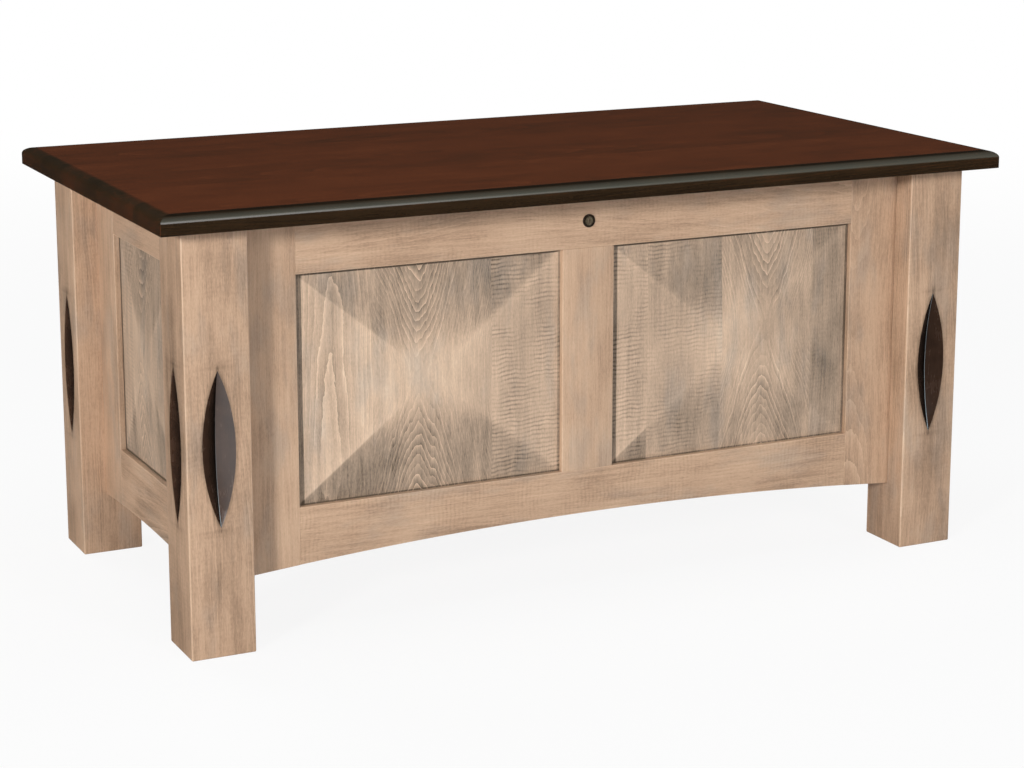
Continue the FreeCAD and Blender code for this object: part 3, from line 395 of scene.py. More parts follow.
# The plug's key slot is blackened deeper in with painted shade.
plug_bronze = finish_of(
    "plug_bronze", (52, 43, 32), (158, 144, 120), 0.6, 0.36, cloud=420.0, slot_shade_depths=(-0.22135, -0.2208)
)
black_steel = finish_of("black_steel", (16, 16, 17), (34, 34, 35), 0.0, 0.5, depth=0.00005)
bright_steel = finish_of("bright_steel", (142, 142, 144), (196, 196, 198), 1.0, 0.28)
metals = (antique_brass, dark_bronze, plug_bronze, black_steel, bright_steel)
print("finishes:", [made.name for made in (gouge_paint, *metals)])


# %% [markdown]
# ## From arrays to a piece
# Every wooden piece is a closed surface. The helper takes its points in millimetres and its faces,
# merges points that meet at a tip or a mitre, turns the faces outwards, and writes the attributes
# that the wood recipes read. Each face belongs to one board, and each board has its own directions
# and pith, so the attributes are laid at the face corners, where they can jump at a glue line.


# %% Piece helper
SHARP, MEETING = math.radians(35), 0.00001


def grid_faces(rows, columns, closed):
    """The four-sided faces of a grid of points numbered row by row; closed joins the last column
    to the first."""
    across = columns if closed else columns - 1
    row, column = np.meshgrid(np.arange(rows - 1), np.arange(across), indexing="ij")
    following = (column + 1) % columns
    corners = (row * columns + column, row * columns + following)
    corners += ((row + 1) * columns + following, (row + 1) * columns + column)
    return np.stack([corner.ravel() for corner in corners], axis=1)


def end_caps(rows, columns):
    """The first and the last ring of a tube of points, each as one face."""
    return [np.arange(columns), (rows - 1) * columns + np.arange(columns)]


def board(
    across,
    into,
    along,
    origin,
    pith,
    number,
    lean=0.12,
    lines=1.0,
    width=1.0,
    peak=0.0,
    jag=2.6,
    curl=0.0,
    tone=0.0,
):
    """How one board lies: three directions, a point on it, and where its pith is from that point."""
    return {
        "axes": np.array([across, into, along], float),
        "origin": np.array(origin, float),
        "shift": np.array([pith[0], 0.0, pith[2]]),
        "figure": (pith[1], lean, lines),
        "rings": (width, peak, jag),
        "board": (curl, tone, number),
    }


def lay_grain(mesh, boards):
    """Writes grain = axes x (point - origin) + shift, and the board's own numbers, at each corner."""
    corners, faces = len(mesh.loops), len(mesh.polygons)
    vertex, size, board_of = np.empty(corners, int), np.empty(faces, int), np.empty(faces, int)
    mesh.loops.foreach_get("vertex_index", vertex)
    mesh.polygons.foreach_get("loop_total", size)
    mesh.attributes["board_number"].data.foreach_get("value", board_of)
    points = np.empty(len(mesh.vertices) * 3)
    mesh.vertices.foreach_get("co", points)
    points = points.reshape(-1, 3)[vertex] / MM
    of_corner = np.repeat(board_of, size)

    def laid(key):
        return np.array([told[key] for told in boards])[of_corner]

    values = {"grain": np.einsum("nij,nj->ni", laid("axes"), points - laid("origin")) + laid("shift")}
    values |= {key: laid(key) for key in ("figure", "rings", "board")}
    for key, value in values.items():
        mesh.attributes.new(key, "FLOAT_VECTOR", "CORNER").data.foreach_set("vector", value.ravel())


def close_up(mesh):
    """Merges points that meet and turns the faces outwards."""
    work = bmesh.new()
    work.from_mesh(mesh)
    bmesh.ops.remove_doubles(work, verts=work.verts, dist=MEETING)
    bmesh.ops.recalc_face_normals(work, faces=work.faces)
    work.to_mesh(mesh)
    work.free()


def make_piece(
    node, points, faces, boards, materials, smooth=None, board_of=None, paint=None, tone_and_painted_light=None
):
    """Builds a closed piece that stands for a node. Smooth, board_of and paint are given for each
    face, and the last argument gives each corner of each face its darkening or lightening: stain and
    wear, and painted shade and highlights."""
    total = len(faces)
    mesh = bpy.data.meshes.new(node)
    mesh.from_pydata((np.asarray(points) * MM).tolist(), [], [list(map(int, face)) for face in faces])
    flags = np.zeros(total, int) if smooth is None else np.asarray(smooth, int)
    numbers = np.zeros(total, int) if board_of is None else np.asarray(board_of, int)
    coats = np.zeros(total, int) if paint is None else np.asarray(paint, int)
    for key, value in (("board_number", numbers), ("smooth_face", flags), ("coat", coats)):
        mesh.attributes.new(key, "INT", "FACE").data.foreach_set("value", value)
    shade = mesh.attributes.new("tone_and_painted_light", "FLOAT", "CORNER")
    if tone_and_painted_light is not None:
        shade.data.foreach_set("value", np.concatenate([np.asarray(g, float).ravel() for g in tone_and_painted_light]))
    close_up(mesh)
    for key, target in (("smooth_face", "use_smooth"), ("coat", "material_index")):
        value = np.empty(len(mesh.polygons), int)
        mesh.attributes[key].data.foreach_get("value", value)
        mesh.polygons.foreach_set(target, value)
    mesh.set_sharp_from_angle(angle=SHARP)
    lay_grain(mesh, boards)
    for key in ("board_number", "smooth_face", "coat"):
        mesh.attributes.remove(mesh.attributes[key])
    for material in materials:
        mesh.materials.append(material)
    piece = bpy.data.objects.new("wood_" + node, mesh)
    scene.collection.objects.link(piece)
    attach(piece, "lid" if node == "lid" else "case")
    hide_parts(node)
    return piece


print("piece helper ready")


# %% [markdown]
# ## The corner posts
# Each post is a square column with softly eased edges. On the faces that show, a long lens has
# been gouged: two flat cuts meet in a sharp valley, and the outline is two arcs. The post's skin is
# a grid, row by row up the post and column by column round it. Four of the columns follow the
# lens: its two rims and a hair's width of valley between them, which carries a painted highlight.
# Above and below the lens they run together, and the helper merges them. Faces between the rims are
# painted, and the paint is darkened with painted shade towards the valley. Stain gathers in a halo
# round each lens and runs a little up and down from its tips, and the arrises are made pale, partly
# by wear and partly as a painted highlight.

# %% Post shape
POST_SIDE, POST_EASE, POST_TALL, POST_MIDDLE = 76.2, 1.5, 490.5, 245.0
EASE_ROWS, EASE_TURNS = 4, np.radians([22.5, 45.0, 67.5])
LENS_LONG, LENS_WIDE, LENS_DEEP, LENS_CENTRE = 180.0, 39.0, 13.0, 241.0
LENS_RADIUS = ((LENS_LONG / 2) ** 2 + (LENS_WIDE / 2) ** 2) / LENS_WIDE
VALLEY_WIDE, BEYOND_TIP, LENS_ROWS = 0.35, np.array([12.0, 7.0, 3.0]), 49
SIDES = {"front": (0, -1), "right": (1, 0), "back": (0, 1), "left": (-1, 0)}
# Each line of the halo: how far it is outside the rim, how much stain it holds beside the lens and
# beyond the tips, and over what length the stain beyond the tips fades.
HALO = ((4.0, 0.3, 0.8, 9.0), (1.2, 0.8, 1.5, 7.0), (0.0, 1.0, 3.2, 4.0))
# Below, the halo's stain, and how much paler the arrises are made: partly wear, partly a painted highlight.
HALO_STAIN, WEAR_AND_SHEEN = 0.3, 0.15


def lens_half(height):
    """Half the lens's width: an arc's height above its chord, and nothing beyond the tips."""
    off = np.clip(np.abs(height - LENS_CENTRE), 0, LENS_LONG / 2)
    return LENS_WIDE / 2 - LENS_RADIUS + np.sqrt(LENS_RADIUS**2 - off**2)


def post_rows():
    """Heights up the post, closer together in the lens, and how far each end row is drawn in."""
    turn = np.linspace(0, math.pi / 2, EASE_ROWS)
    ease = POST_EASE * (1 - np.sin(turn))
    rise = POST_EASE * (1 - np.cos(turn))
    swing = LENS_CENTRE - LENS_LONG / 2 * np.cos(np.linspace(0, math.pi, LENS_ROWS))
    beyond = LENS_LONG / 2 + BEYOND_TIP
    middle = np.concatenate([LENS_CENTRE - beyond, swing, LENS_CENTRE + beyond[::-1]])
    heights = np.concatenate([rise, middle, POST_TALL - rise[::-1]])
    inset = np.concatenate([ease, np.zeros(len(middle)), ease[::-1]])
    return heights, inset


def lens_lines(wide, beyond):
    """The lines up a gouged face as (slide, depth, stain): rims and halo, the valley's two lines,
    and the same mirrored. Stain = its share at the tip x e to the power -distance / length."""
    lines = []
    for outside, beside, at_tip, length in HALO:
        stain = np.where(beyond > 0, at_tip, beside) * np.exp(-beyond / length)
        lines.append((wide + outside, 0, stain))
    valley = np.minimum(VALLEY_WIDE, wide / 3)
    lines.append((valley, LENS_DEEP * (wide - valley) / (LENS_WIDE / 2), lines[-1][2]))
    return [(-slide, *rest) for slide, *rest in lines] + lines[::-1]


def post_skin(lens_sides):
    """Points as (row, column, 3) round the post's axis, the painted columns and the halo."""
    heights, inset = post_rows()
    half, flat = POST_SIDE / 2, POST_SIDE / 2 - POST_EASE
    beyond = np.maximum(np.abs(heights - LENS_CENTRE) - LENS_LONG / 2, 0)
    lens = lens_lines(lens_half(heights), beyond)
    none = np.zeros(len(heights))
    columns, painted, halo = [], [], []
    for side, (nx, ny) in SIDES.items():
        tx, ty = -ny, nx
        gouged = side in lens_sides
        steps = [(-flat, 0, none), *(lens if gouged else []), (flat, 0, none)]
        for number, (slide, sunk, stain) in enumerate(steps):
            out = half - inset - sunk
            columns.append(np.stack([nx * out + tx * slide, ny * out + ty * slide, heights], axis=1))
            painted.append(number - len(HALO) + 1 if gouged and 0 <= number - len(HALO) < 3 else 0)
            halo.append(stain)
        reach = POST_EASE - inset
        for turn in EASE_TURNS:
            x = nx * (flat + reach * math.cos(turn)) + tx * (flat + reach * math.sin(turn))
            y = ny * (flat + reach * math.cos(turn)) + ty * (flat + reach * math.sin(turn))
            columns.append(np.stack([x, y, heights], axis=1))
            painted.append(0)
            halo.append(none)
    return np.stack(columns, axis=1), np.array(painted), np.stack(halo, axis=1)


print("lens radius:", round(LENS_RADIUS, 1), "mm")


# %% [markdown]
# ### Four posts
# The front posts are gouged on two faces and the rear posts on one. A post is sawn from a thick
# plank, so one pith serves the whole block and the figure turns the corner as it does in solid wood.

# %% Make the posts
# Each post's gouged sides, pith, lean, tone, its left face's tone and painted shade, and its number.
POSTS = {
    "front_left_post": (("front", "left"), (-95.0, 120.0, -160.0), 0.03, 0.0, -0.08, 3.1),
    "front_right_post": (("front", "right"), (80.0, 110.0, 150.0), 0.05, -0.03, -0.03, 7.7),
    "rear_left_post": (("left",), (110.0, 90.0, 60.0), 0.04, -0.02, 0.0, 11.3),
    "rear_right_post": (("right",), (-100.0, 95.0, -90.0), 0.04, 0.0, 0.0, 15.9),
}
# Painted shade and light on the paint across a lens: at its first rim, beside the valley, past it,
# and at the last rim. The left faces share one row, and a painted shade along their valley.
GOUGE_SHADES = {"front_left_post": (-0.05, -1.0, 0.04, 0.07), "front_right_post": (-0.6, -1.0, -0.46, -0.38)}
LEFT_GOUGE_SHADES, LEFT_VALLEY_SHADE = (0.02, -1.2, -0.56, -0.56), -0.3
# The painted highlight along the valley: everywhere, and more towards the lower tip.
VALLEY_HIGHLIGHT = {"front_left_post": (0.06, 0.6), "front_right_post": (0.45, 0.6)}


def gouge_shade_and_highlight(node, on_left, drop):
    """The painted shade and painted highlight on the corners of the three painted strips. Shine =
    steady + rise x drop cubed, where drop goes from 0 at the upper tip to 1 at the lower."""
    steady, rise = VALLEY_HIGHLIGHT.get(node, (0.0, 0.0))
    shine = LEFT_VALLEY_SHADE + 0 * drop if on_left else steady + rise * drop**3
    first, near, past, last = LEFT_GOUGE_SHADES if on_left else GOUGE_SHADES.get(node, LEFT_GOUGE_SHADES)
    return (first, near, near, first), shine[:, None], (past, last, last, past)


def make_post(node, lens_sides, pith, lean, tone, left_tone_and_shade, number):
    """A strip is an arris if it is narrower than half the easing. It looks left if its middle lies
    further out along X than along Y, on the side where X is negative."""
    low, high = (np.array(corner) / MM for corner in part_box(node))
    centre = np.array([*(low + high)[:2] / 2, 0.0])
    skin, painted, halo = post_skin(lens_sides)
    rows, columns = skin.shape[:2]
    faces = grid_faces(rows, columns, closed=True)
    heights, ring = skin[:, 0, 2], skin[1, :, :2]
    row, column = faces[:, 0] // columns, faces[:, 0] % columns
    in_lens = np.abs((heights[row] + heights[row + 1]) / 2 - LENS_CENTRE) < LENS_LONG / 2
    coats = (painted[column] > 0) & in_lens
    following = np.roll(ring, -1, axis=0)
    arris = np.linalg.norm(ring - following, axis=1) < POST_EASE / 2
    outward = np.abs(ring + following)
    left = (outward[:, 0] >= outward[:, 1]) & (ring[:, 0] < 0)
    # Arrises are made paler, partly wear and partly a painted highlight; left faces take their own tone,
    # partly a painted shade.
    wear_and_painted_light = np.where(arris, WEAR_AND_SHEEN, np.where(left, left_tone_and_shade, 0.0))
    shade = wear_and_painted_light[column][:, None] - HALO_STAIN * halo.ravel()[faces]
    drop = (LENS_CENTRE + LENS_LONG / 2 - heights[row]) / LENS_LONG
    # The strips of each lens take painted shade on their walls and a painted highlight in the valley.
    for on_left in (False, True):
        for part, corners in enumerate(gouge_shade_and_highlight(node, on_left, drop), 1):
            inside = coats & (painted[column] == part) & (left[column] == on_left)
            shade[inside] = np.broadcast_to(corners, shade.shape)[inside]
    lay = board(
        *np.eye(3), (*centre[:2], POST_MIDDLE), pith, number, lean=lean, lines=0.7, curl=0.16, tone=tone
    )
    return make_piece(
        node,
        skin.reshape(-1, 3) + centre,
        [*faces, *end_caps(rows, columns)],
        [lay],
        [stained_maple, gouge_paint],
        smooth=[*(arris[column] | coats), 0, 0],
        paint=[*coats, 0, 0],
        tone_and_painted_light=[*shade, *[np.zeros(columns)] * 2],
    )


for node, told in POSTS.items():
    post = make_post(node, *told)
    print(node, len(post.data.polygons), "faces")


# %% [markdown]
# ## Rails and stiles
# A frame member is a stick with one cross-section, so it is swept: the section is a closed loop of
# points, and a station is a place along the stick. The section has softly rounded arrises where it
# borders an opening and nearly sharp ones where two members meet, and a groove for the panel. The
# arch under the front is one big circle that runs through the bottom rail and the feet of both
# stiles, so a member's edges and ends may be functions: a rail's lower edge follows the arch along
# its length, and a stile's lower end follows it across its width.

# %% Walls
CASE = {
    "front": {"face": -220.25, "inward": 1, "axis": 0},
    "back": {"face": 252.0, "inward": -1, "axis": 0},
    "left": {"face": -481.75, "inward": 1, "axis": 1},
    "right": {"face": 481.75, "inward": -1, "axis": 1},
}
STOCK, GROOVE_NEAR, GROOVE_WIDE, GROOVE_DEEP = 22.0, 7.0, 6.4, 10.0
SOFT, CRISP, ARRIS_STEPS = 0.9, 0.25, 5
OPENING_LOW, OPENING_HIGH, TOP = 152.0, 423.5, 490.5
POST_IN, STILE_IN, MID = 437.3, 369.9, 34.1
SIDE_POST_IN, SIDE_STILE_IN = 175.8, 108.4
STILE_MIDDLE = 290.0


def on_wall(wall, sideways, upward, depth):
    """A wall's own sideways, upward and inward measures as a point of the chest."""
    told = CASE[wall]
    inward = told["face"] + told["inward"] * depth
    pair = (sideways, inward) if told["axis"] == 0 else (inward, sideways)
    return np.stack([*pair, upward], axis=-1)


def wall_axes(wall):
    """The wall's sideways and inward directions."""
    told = CASE[wall]
    sideways, inward = np.eye(3)[told["axis"]], np.eye(3)[1 - told["axis"]] * told["inward"]
    return sideways, inward


def arch(middle, rise, half):
    """Height of a circular arch over its width: it is highest in the middle and drops by rise."""
    radius = (half**2 + rise**2) / (2 * rise)
    return lambda place: middle - radius + np.sqrt(radius**2 - np.asarray(place, float) ** 2)


FRONT_ARCH = arch(middle=97.3, rise=19.0, half=POST_IN)
SIDE_ARCH = arch(middle=82.5, rise=5.5, half=SIDE_POST_IN)
print("front arch:", round(float(FRONT_ARCH(0.0)), 1), "to", round(float(FRONT_ARCH(POST_IN)), 1), "mm")


# %% [markdown]
# ### One member
# The loop of the section starts at the outer face and goes round by the low edge, the inner face
# and the high edge. Each point is kept as a distance from the low or the high edge and a depth, so
# that the same loop fits a member whose edges curve.


# %% Member helper
PLAIN_STEPS = 3


def section(low_ease, high_ease, low_groove, high_groove):
    """The closed loop of a member's section: which edge each point is measured from, its distance
    from that edge, its depth, and whether the face after it belongs to a rounded arris."""
    turn = np.linspace(0, math.pi / 2, ARRIS_STEPS)
    notch = [(0, GROOVE_NEAR), (GROOVE_DEEP, GROOVE_NEAR)]
    notch += [(GROOVE_DEEP, GROOVE_NEAR + GROOVE_WIDE), (0, GROOVE_NEAR + GROOVE_WIDE)]
    loops = []
    for ease, groove in ((low_ease, low_groove), (high_ease, high_groove)):
        outer = [(ease * (1 - math.sin(t)), ease * (1 - math.cos(t)), 1) for t in turn]
        inner = [(CRISP * (1 - math.sin(t)), STOCK - CRISP * (1 - math.cos(t)), 1) for t in turn[::-1]]
        outer[-1] = (*outer[-1][:2], 0)
        inner[-1] = (*inner[-1][:2], 0)
        loops.append(outer + [(*spot, 0) for spot in (notch if groove else [])] + inner)
    low, high = loops
    following = [0, *[spot[2] for spot in high[:-1]]]
    flipped = [(*spot[:2], smooth) for spot, smooth in zip(high, following)][::-1]
    side = np.array([0] * len(low) + [1] * len(flipped))
    offset, depth, smooth = np.array(low + flipped).T
    return side, offset, depth, smooth.astype(int)


def constant(value):
    """A straight edge: the same value everywhere."""
    return lambda place: np.zeros_like(np.asarray(place, float)) + value


def member(node, wall, upright, ends, edges, eases, grooves, lay, slot, steps=PLAIN_STEPS):
    """Sweeps the section along the member. An upright member runs up, with edges sideways. Across =
    the low edge + the point's distance, or the high edge - it. Along = an end and a hair's ease, or
    the low end + a share of the length."""
    side, offset, depth, smooth = section(*eases, *grooves)
    reach = np.concatenate([[0.0, CRISP], np.linspace(0, 1, steps + 2)[1:-1], [CRISP, 0.0]])
    from_end = np.concatenate([[0, 0], np.full(steps, 2), [1, 1]])
    inset = np.concatenate([[CRISP], np.zeros(len(reach) - 2), [CRISP]])
    ends, edges = (
        [value if callable(value) else constant(value) for value in pair] for pair in (ends, edges)
    )

    def along_at(across):
        low, high = ends[0](across), ends[1](across)
        kinds = [low + reach[:, None], high - reach[:, None], low + (high - low) * reach[:, None]]
        return np.choose(np.broadcast_to(from_end[:, None], kinds[0].shape), kinds)

    middle = float(edges[0](0.0) + edges[1](0.0)) / 2
    along = along_at(np.full((1, len(side)), middle))
    pull = offset + inset[:, None]
    across = np.where(side == 0, edges[0](along) + pull, edges[1](along) - pull)
    along = along_at(across) if upright else along
    deep = np.clip(depth + 0 * along, inset[:, None], STOCK - inset[:, None])
    points = on_wall(wall, across, along, deep) if upright else on_wall(wall, along, across, deep)
    rows, columns = points.shape[:2]
    faces = grid_faces(rows, columns, closed=True)
    sideways, inward = wall_axes(wall)
    up = np.array([0.0, 0.0, 1.0])
    directions = (sideways, inward, up) if upright else (up, inward, sideways)
    origin = on_wall(wall, middle, STILE_MIDDLE, 0.0) if upright else on_wall(wall, 0.0, middle, 0.0)
    rounded = smooth[faces[:, 0] % columns]
    # Rounded arrises are made paler, partly wear and partly a painted highlight.
    return make_piece(
        node,
        points.reshape(-1, 3),
        [*faces, *end_caps(rows, columns)],
        [board(*directions, origin, **lay)],
        [stained_maple if slot == "stained_maple" else plain_maple],
        smooth=[*rounded, 0, 0],
        tone_and_painted_light=[*np.repeat(WEAR_AND_SHEEN * rounded, 4).reshape(-1, 4), *[np.zeros(columns)] * 2],
    )


print("section points:", len(section(SOFT, SOFT, True, True)[0]))


# %% [markdown]
# ### The frames of the four walls
# Front and back have two openings with a stile between them, the sides have one. The two long
# walls share their widths. The back is plainer: flat panels, a straight bottom rail, and wood of a
# plainer cut, as usual on a side that stands against a wall.

# %% Make the frames
BACK_LOW, LONG_STEPS, SHORT_STEPS = 85.0, 47, 23
# How the members in front lie; the others' lays are worked out.
LAYS = {
    "front_top_rail": dict(
        pith=(-36.0, 74.0, 130.0), lean=-0.05, lines=0.5, tone=0.02, curl=0.3, number=21.0
    ),
    "front_bottom_rail": dict(pith=(70.0, 90.0, -230.0), lean=-0.04, lines=0.4, curl=0.5, number=22.4),
    "front_left_stile": dict(pith=(-70.0, 100.0, -60.0), lean=0.03, lines=0.4, tone=0.02, number=23.7),
    "front_centre_stile": dict(pith=(76.0, 100.0, 40.0), lean=0.03, lines=0.35, tone=0.05, number=24.2),
    "front_right_stile": dict(pith=(30.0, 66.0, -30.0), lean=-0.08, lines=0.55, tone=-0.02, number=25.5),
}


def lay_of(node):
    """A member's own lay, or one worked out from its place in the list of nodes."""
    number = 31.0 + list(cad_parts).index(node) * 1.37
    pith = (80 * math.sin(number), 80 + 20 * math.cos(number), 90 * math.sin(2 * number))
    tone = 0.02 * math.sin(5 * number)
    return LAYS.get(node, dict(pith=pith, lean=-0.06, lines=0.5, tone=tone, curl=0.1, number=number))


def end_stiles(wall, names, inner, outer, low_end, slot):
    """The two stiles that stand at the ends of a wall, each grooved and softened by its opening."""
    for name, turn in zip(names, (-1, 1)):
        node = f"{wall}_{name}_stile"
        edges = sorted((turn * inner, turn * outer))
        eases = (CRISP, SOFT) if turn < 0 else (SOFT, CRISP)
        member(node, wall, True, (low_end, TOP), edges, eases, (turn > 0, turn < 0), lay_of(node), slot)


def rails(wall, reach, low_edge, slot, arch_steps):
    """The top and the bottom rail between two stiles; the bottom one may be arched."""
    for name, edges, eases, grooves, steps in (
        ("top", (OPENING_HIGH, TOP), (SOFT, CRISP), (True, False), PLAIN_STEPS),
        ("bottom", (low_edge, OPENING_LOW), (SOFT, SOFT), (False, True), arch_steps),
    ):
        node = f"{wall}_{name}_rail"
        member(node, wall, False, (-reach, reach), edges, eases, grooves, lay_of(node), slot, steps)


for wall, low_edge, slot in (("front", FRONT_ARCH, "stained_maple"), ("back", BACK_LOW, "plain_maple")):
    end_stiles(wall, ("left", "right"), STILE_IN, POST_IN, low_edge, slot)
    rails(wall, STILE_IN, low_edge, slot, LONG_STEPS)
    node, opening = f"{wall}_centre_stile", (OPENING_LOW, OPENING_HIGH)
    member(node, wall, True, opening, (-MID, MID), (SOFT, SOFT), (True, True), lay_of(node), slot)
for wall in ("left", "right"):
    end_stiles(wall, ("front", "rear"), SIDE_STILE_IN, SIDE_POST_IN, SIDE_ARCH, "stained_maple")
    rails(wall, SIDE_STILE_IN, SIDE_ARCH, "stained_maple", SHORT_STEPS)
print("members:", sum(name.endswith(("rail", "stile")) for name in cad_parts))


# %% [markdown]
# ## Panels
# A panel is glued up from three or four boards and then planed into a very low pyramid, so the
# glue lines run straight over it while the four facets meet in an X. Each facet cuts each board at
# its own angle, so each meeting of a facet and a board has a tone of its own: partly stain that it
# drinks in its own measure, and partly painted shade and light for how the facet meets the light.
# The tones are strongest near the frame and even in the middle, which is paler. The columns of the
# grid stand at the ends, the glue lines and the apex, with more between them, and the rows follow
# the hips, so facets and boards fall out of the grid by themselves. A narrow border is darkened
# with painted shade in the corner by the frame.

# %% Panel grid
PANEL_TONGUE, PANEL_BACK, PANEL_RISE = 8.5, 13.3, 6.0
COLUMN_GAP, FACET_STEPS = 6.0, 9
# The painted shade round a panel, on the long walls and the short ones: its width and darkness.
RIM_SHADES = {
    "long": {"left": (8.4, 0.36), "right": (3.4, 0.3), "low": (2.0, 0.3), "high": (3.4, 0.46)},
    "short": {"left": (4.0, 0.36), "right": (7.0, 0.66), "low": (3.0, 0.6), "high": (3.4, 0.46)},
}


def panel_grid(span, rise, seams, rim):
    """Heights and depths of the columns: depth = edge depth - rise x (1 - share of the way out).
    The rows of each half crowd towards the hip: share = way out x (1 - u squared) below it."""
    centre, half = sum(span) / 2, (span[1] - span[0]) / 2
    middle, tall = (OPENING_LOW + OPENING_HIGH) / 2, (OPENING_HIGH - OPENING_LOW) / 2
    knots = sorted({span[0], span[0] + rim["left"][0], *seams, centre, span[1] - rim["right"][0], span[1]})
    runs = []
    for low, high in zip(knots, knots[1:]):
        runs.append(np.linspace(low, high, max(1, round((high - low) / COLUMN_GAP)), endpoint=False))
    columns = np.concatenate([*runs, [span[1]]])
    out = np.abs(columns - centre) / half
    steps = np.linspace(0, 1, FACET_STEPS + 1)
    halves = []
    for border, _ in (rim["low"], rim["high"]):
        last = np.maximum(out, 1 - border / tall)
        below = [out * (1 - u**2) for u in steps[::-1]]
        above = [out + (last - out) * u**2 for u in steps[1:]]
        halves.append([*below, *above, np.ones_like(out)])
    shares = np.stack([-row for row in halves[0][:0:-1]] + halves[1])
    heights = middle + tall * shares
    share = np.maximum(np.abs(shares), out)
    return columns, heights, GROOVE_NEAR - rise * (1 - share), share


print("width and stain at the rim:", RIM_SHADES)


# %% [markdown]
# ### Stain and painted shade on the facets
# A finisher wipes stain on and rubs it off by hand, so each facet of each board gets a tone of its
# own; the tones also hold painted shade and light for how each facet meets the light. They fade out
# towards the middle. It could be painted as a picture, but numbers at the corners of the faces
# follow the facets exactly. Two facets meet crisply on the left and softly on the right, and the
# hips between them are made a little paler, partly by rubbing and partly as a painted highlight.

# %% Panel glaze
FADE_IN, GLOW_WIDTH = (0.12, 0.5), 0.38
SOFT_HIP, HIP_WIDTH = (0.03, 0.12), 0.05


def ease(value, start, end):
    """0 before the start, 1 after the end, and a smooth S between: 3 t squared - 2 t cubed."""
    t = np.clip((value - start) / (end - start), 0, 1)
    return t * t * (3 - 2 * t)


def facet_tone_and_light(faces, columns, heights, share, board_of, tones, hips, glow, rim):
    """Tone = (facet tone + rubbed hip) x fade in, plus glow x e to the power -(way out / width)
    squared, minus the painted shade at the rim. Facet tones are stain and painted shade and light,
    the rubbed hip is wear and a painted highlight, and the glow makes the middle paler. Past hip is
    the way out upward minus the way out sideways."""
    rows, count = heights.shape
    row, column = faces[:, 0] // count, faces[:, 0] % count
    centre = (columns[0] + columns[-1]) / 2
    middles = (columns[:-1] + columns[1:])[column] / 2
    on_right, on_top = (middles > centre).astype(int), (row >= rows // 2).astype(int)
    upward = np.abs(heights - heights.mean()) / (heights.max() - heights.mean())
    past_hip = (upward - np.abs(columns - centre) / (columns[-1] - centre)).ravel()[faces]
    way_out = share.ravel()[faces]
    tones, strip = np.array(tones), board_of[column]
    beside, over = tones[2 + on_right, strip][:, None], tones[on_top, strip][:, None]
    soft = np.array(SOFT_HIP)[on_right][:, None] / 2
    facet_tone_and_shade = beside + (over - beside) * ease(past_hip, -soft, soft)
    hip_wear_and_highlight = np.array(hips)[on_right * 2 + on_top][:, None] * np.exp(-((past_hip / HIP_WIDTH) ** 2))
    # The border by the frame is darkened with painted shade, whose value is taken off below.
    at_rim = {
        "left": middles < columns[0] + rim["left"][0],
        "right": middles > columns[-1] - rim["right"][0],
        "low": row == 0,
        "high": row == rows - 2,
    }
    stain = np.max([rim[side][1] * inside for side, inside in at_rim.items()], axis=0)[:, None]
    return (facet_tone_and_shade + hip_wear_and_highlight) * ease(way_out, *FADE_IN) + glow * np.exp(-((way_out / GLOW_WIDTH) ** 2)) - stain


print("facets meet over:", SOFT_HIP)


# %% [markdown]
# ### Closing a panel
# Behind the visible face the panel is plain. A skirt runs from the face's outline out to the edge
# of the tongue and back to the rear face, which is covered with one strip for each column.

# %% Panel helper
EDGE_TONE = -0.1


def panel_boards(wall, span, seams, lays):
    """One board for each strip between glue lines, upright, with its pith behind its own middle."""
    sideways, inward = wall_axes(wall)
    limits = [span[0], *seams, span[1]]
    boards = []
    for low, high, lay in zip(limits, limits[1:], lays):
        origin = on_wall(wall, (low + high) / 2, (OPENING_LOW + OPENING_HIGH) / 2, 0.0)
        boards.append(board(sideways, inward, (0, 0, 1), origin, **lay))
    return boards


def panel(node, wall, slot, finish, rise, span, seams, lays, tones, hips, glow):
    """Tones holds, for the lower, upper, left and right facet, one number for each board: stain and
    painted shade and light. Hips holds how bright the lower left, upper left, lower right and upper
    right hips are made, partly by rubbing and partly as a painted highlight."""
    rim = RIM_SHADES["long" if wall in ("front", "back") else "short"]
    columns, heights, depths, share = panel_grid(span, rise, seams, rim)
    rows, count = heights.shape
    front = on_wall(wall, np.broadcast_to(columns, heights.shape), heights, depths).reshape(-1, 3)
    faces = grid_faces(rows, count, closed=False)
    board_of = np.searchsorted(seams, (columns[:-1] + columns[1:]) / 2)
    shade = facet_tone_and_light(faces, columns, heights, share, board_of, tones, hips, glow, rim)
    outline = np.concatenate([np.arange(count), (rows - 1) * count + np.arange(count)[::-1]])
    sideways = np.concatenate([columns, columns[::-1]])
    sideways = sideways + PANEL_TONGUE * ((sideways == span[1]) * 1.0 - (sideways == span[0]))
    upward = np.repeat([OPENING_LOW - PANEL_TONGUE, OPENING_HIGH + PANEL_TONGUE], count)
    rings = [front[outline]]
    rings += [on_wall(wall, sideways, upward, 0 * upward + depth) for depth in (GROOVE_NEAR, PANEL_BACK)]
    skirt = grid_faces(3, 2 * count, closed=True) + rows * count
    back = rows * count + 4 * count + np.arange(2 * count)
    strips = [(back[k], back[k + 1], back[-2 - k], back[-1 - k]) for k in range(count - 1)]
    along = np.concatenate([board_of, [board_of[-1]], board_of[::-1], [board_of[0]]])
    return make_piece(
        node,
        np.concatenate([front, *rings]),
        [*faces, *skirt, *strips],
        panel_boards(wall, span, seams, lays),
        [finish],
        board_of=[*board_of[faces[:, 0] % count], *np.tile(along, 2), *board_of],
        tone_and_painted_light=[*shade, *[np.full(4, EDGE_TONE)] * len(skirt), *[np.zeros(4)] * len(strips)],
    )


print("panel rise:", PANEL_RISE, "mm")


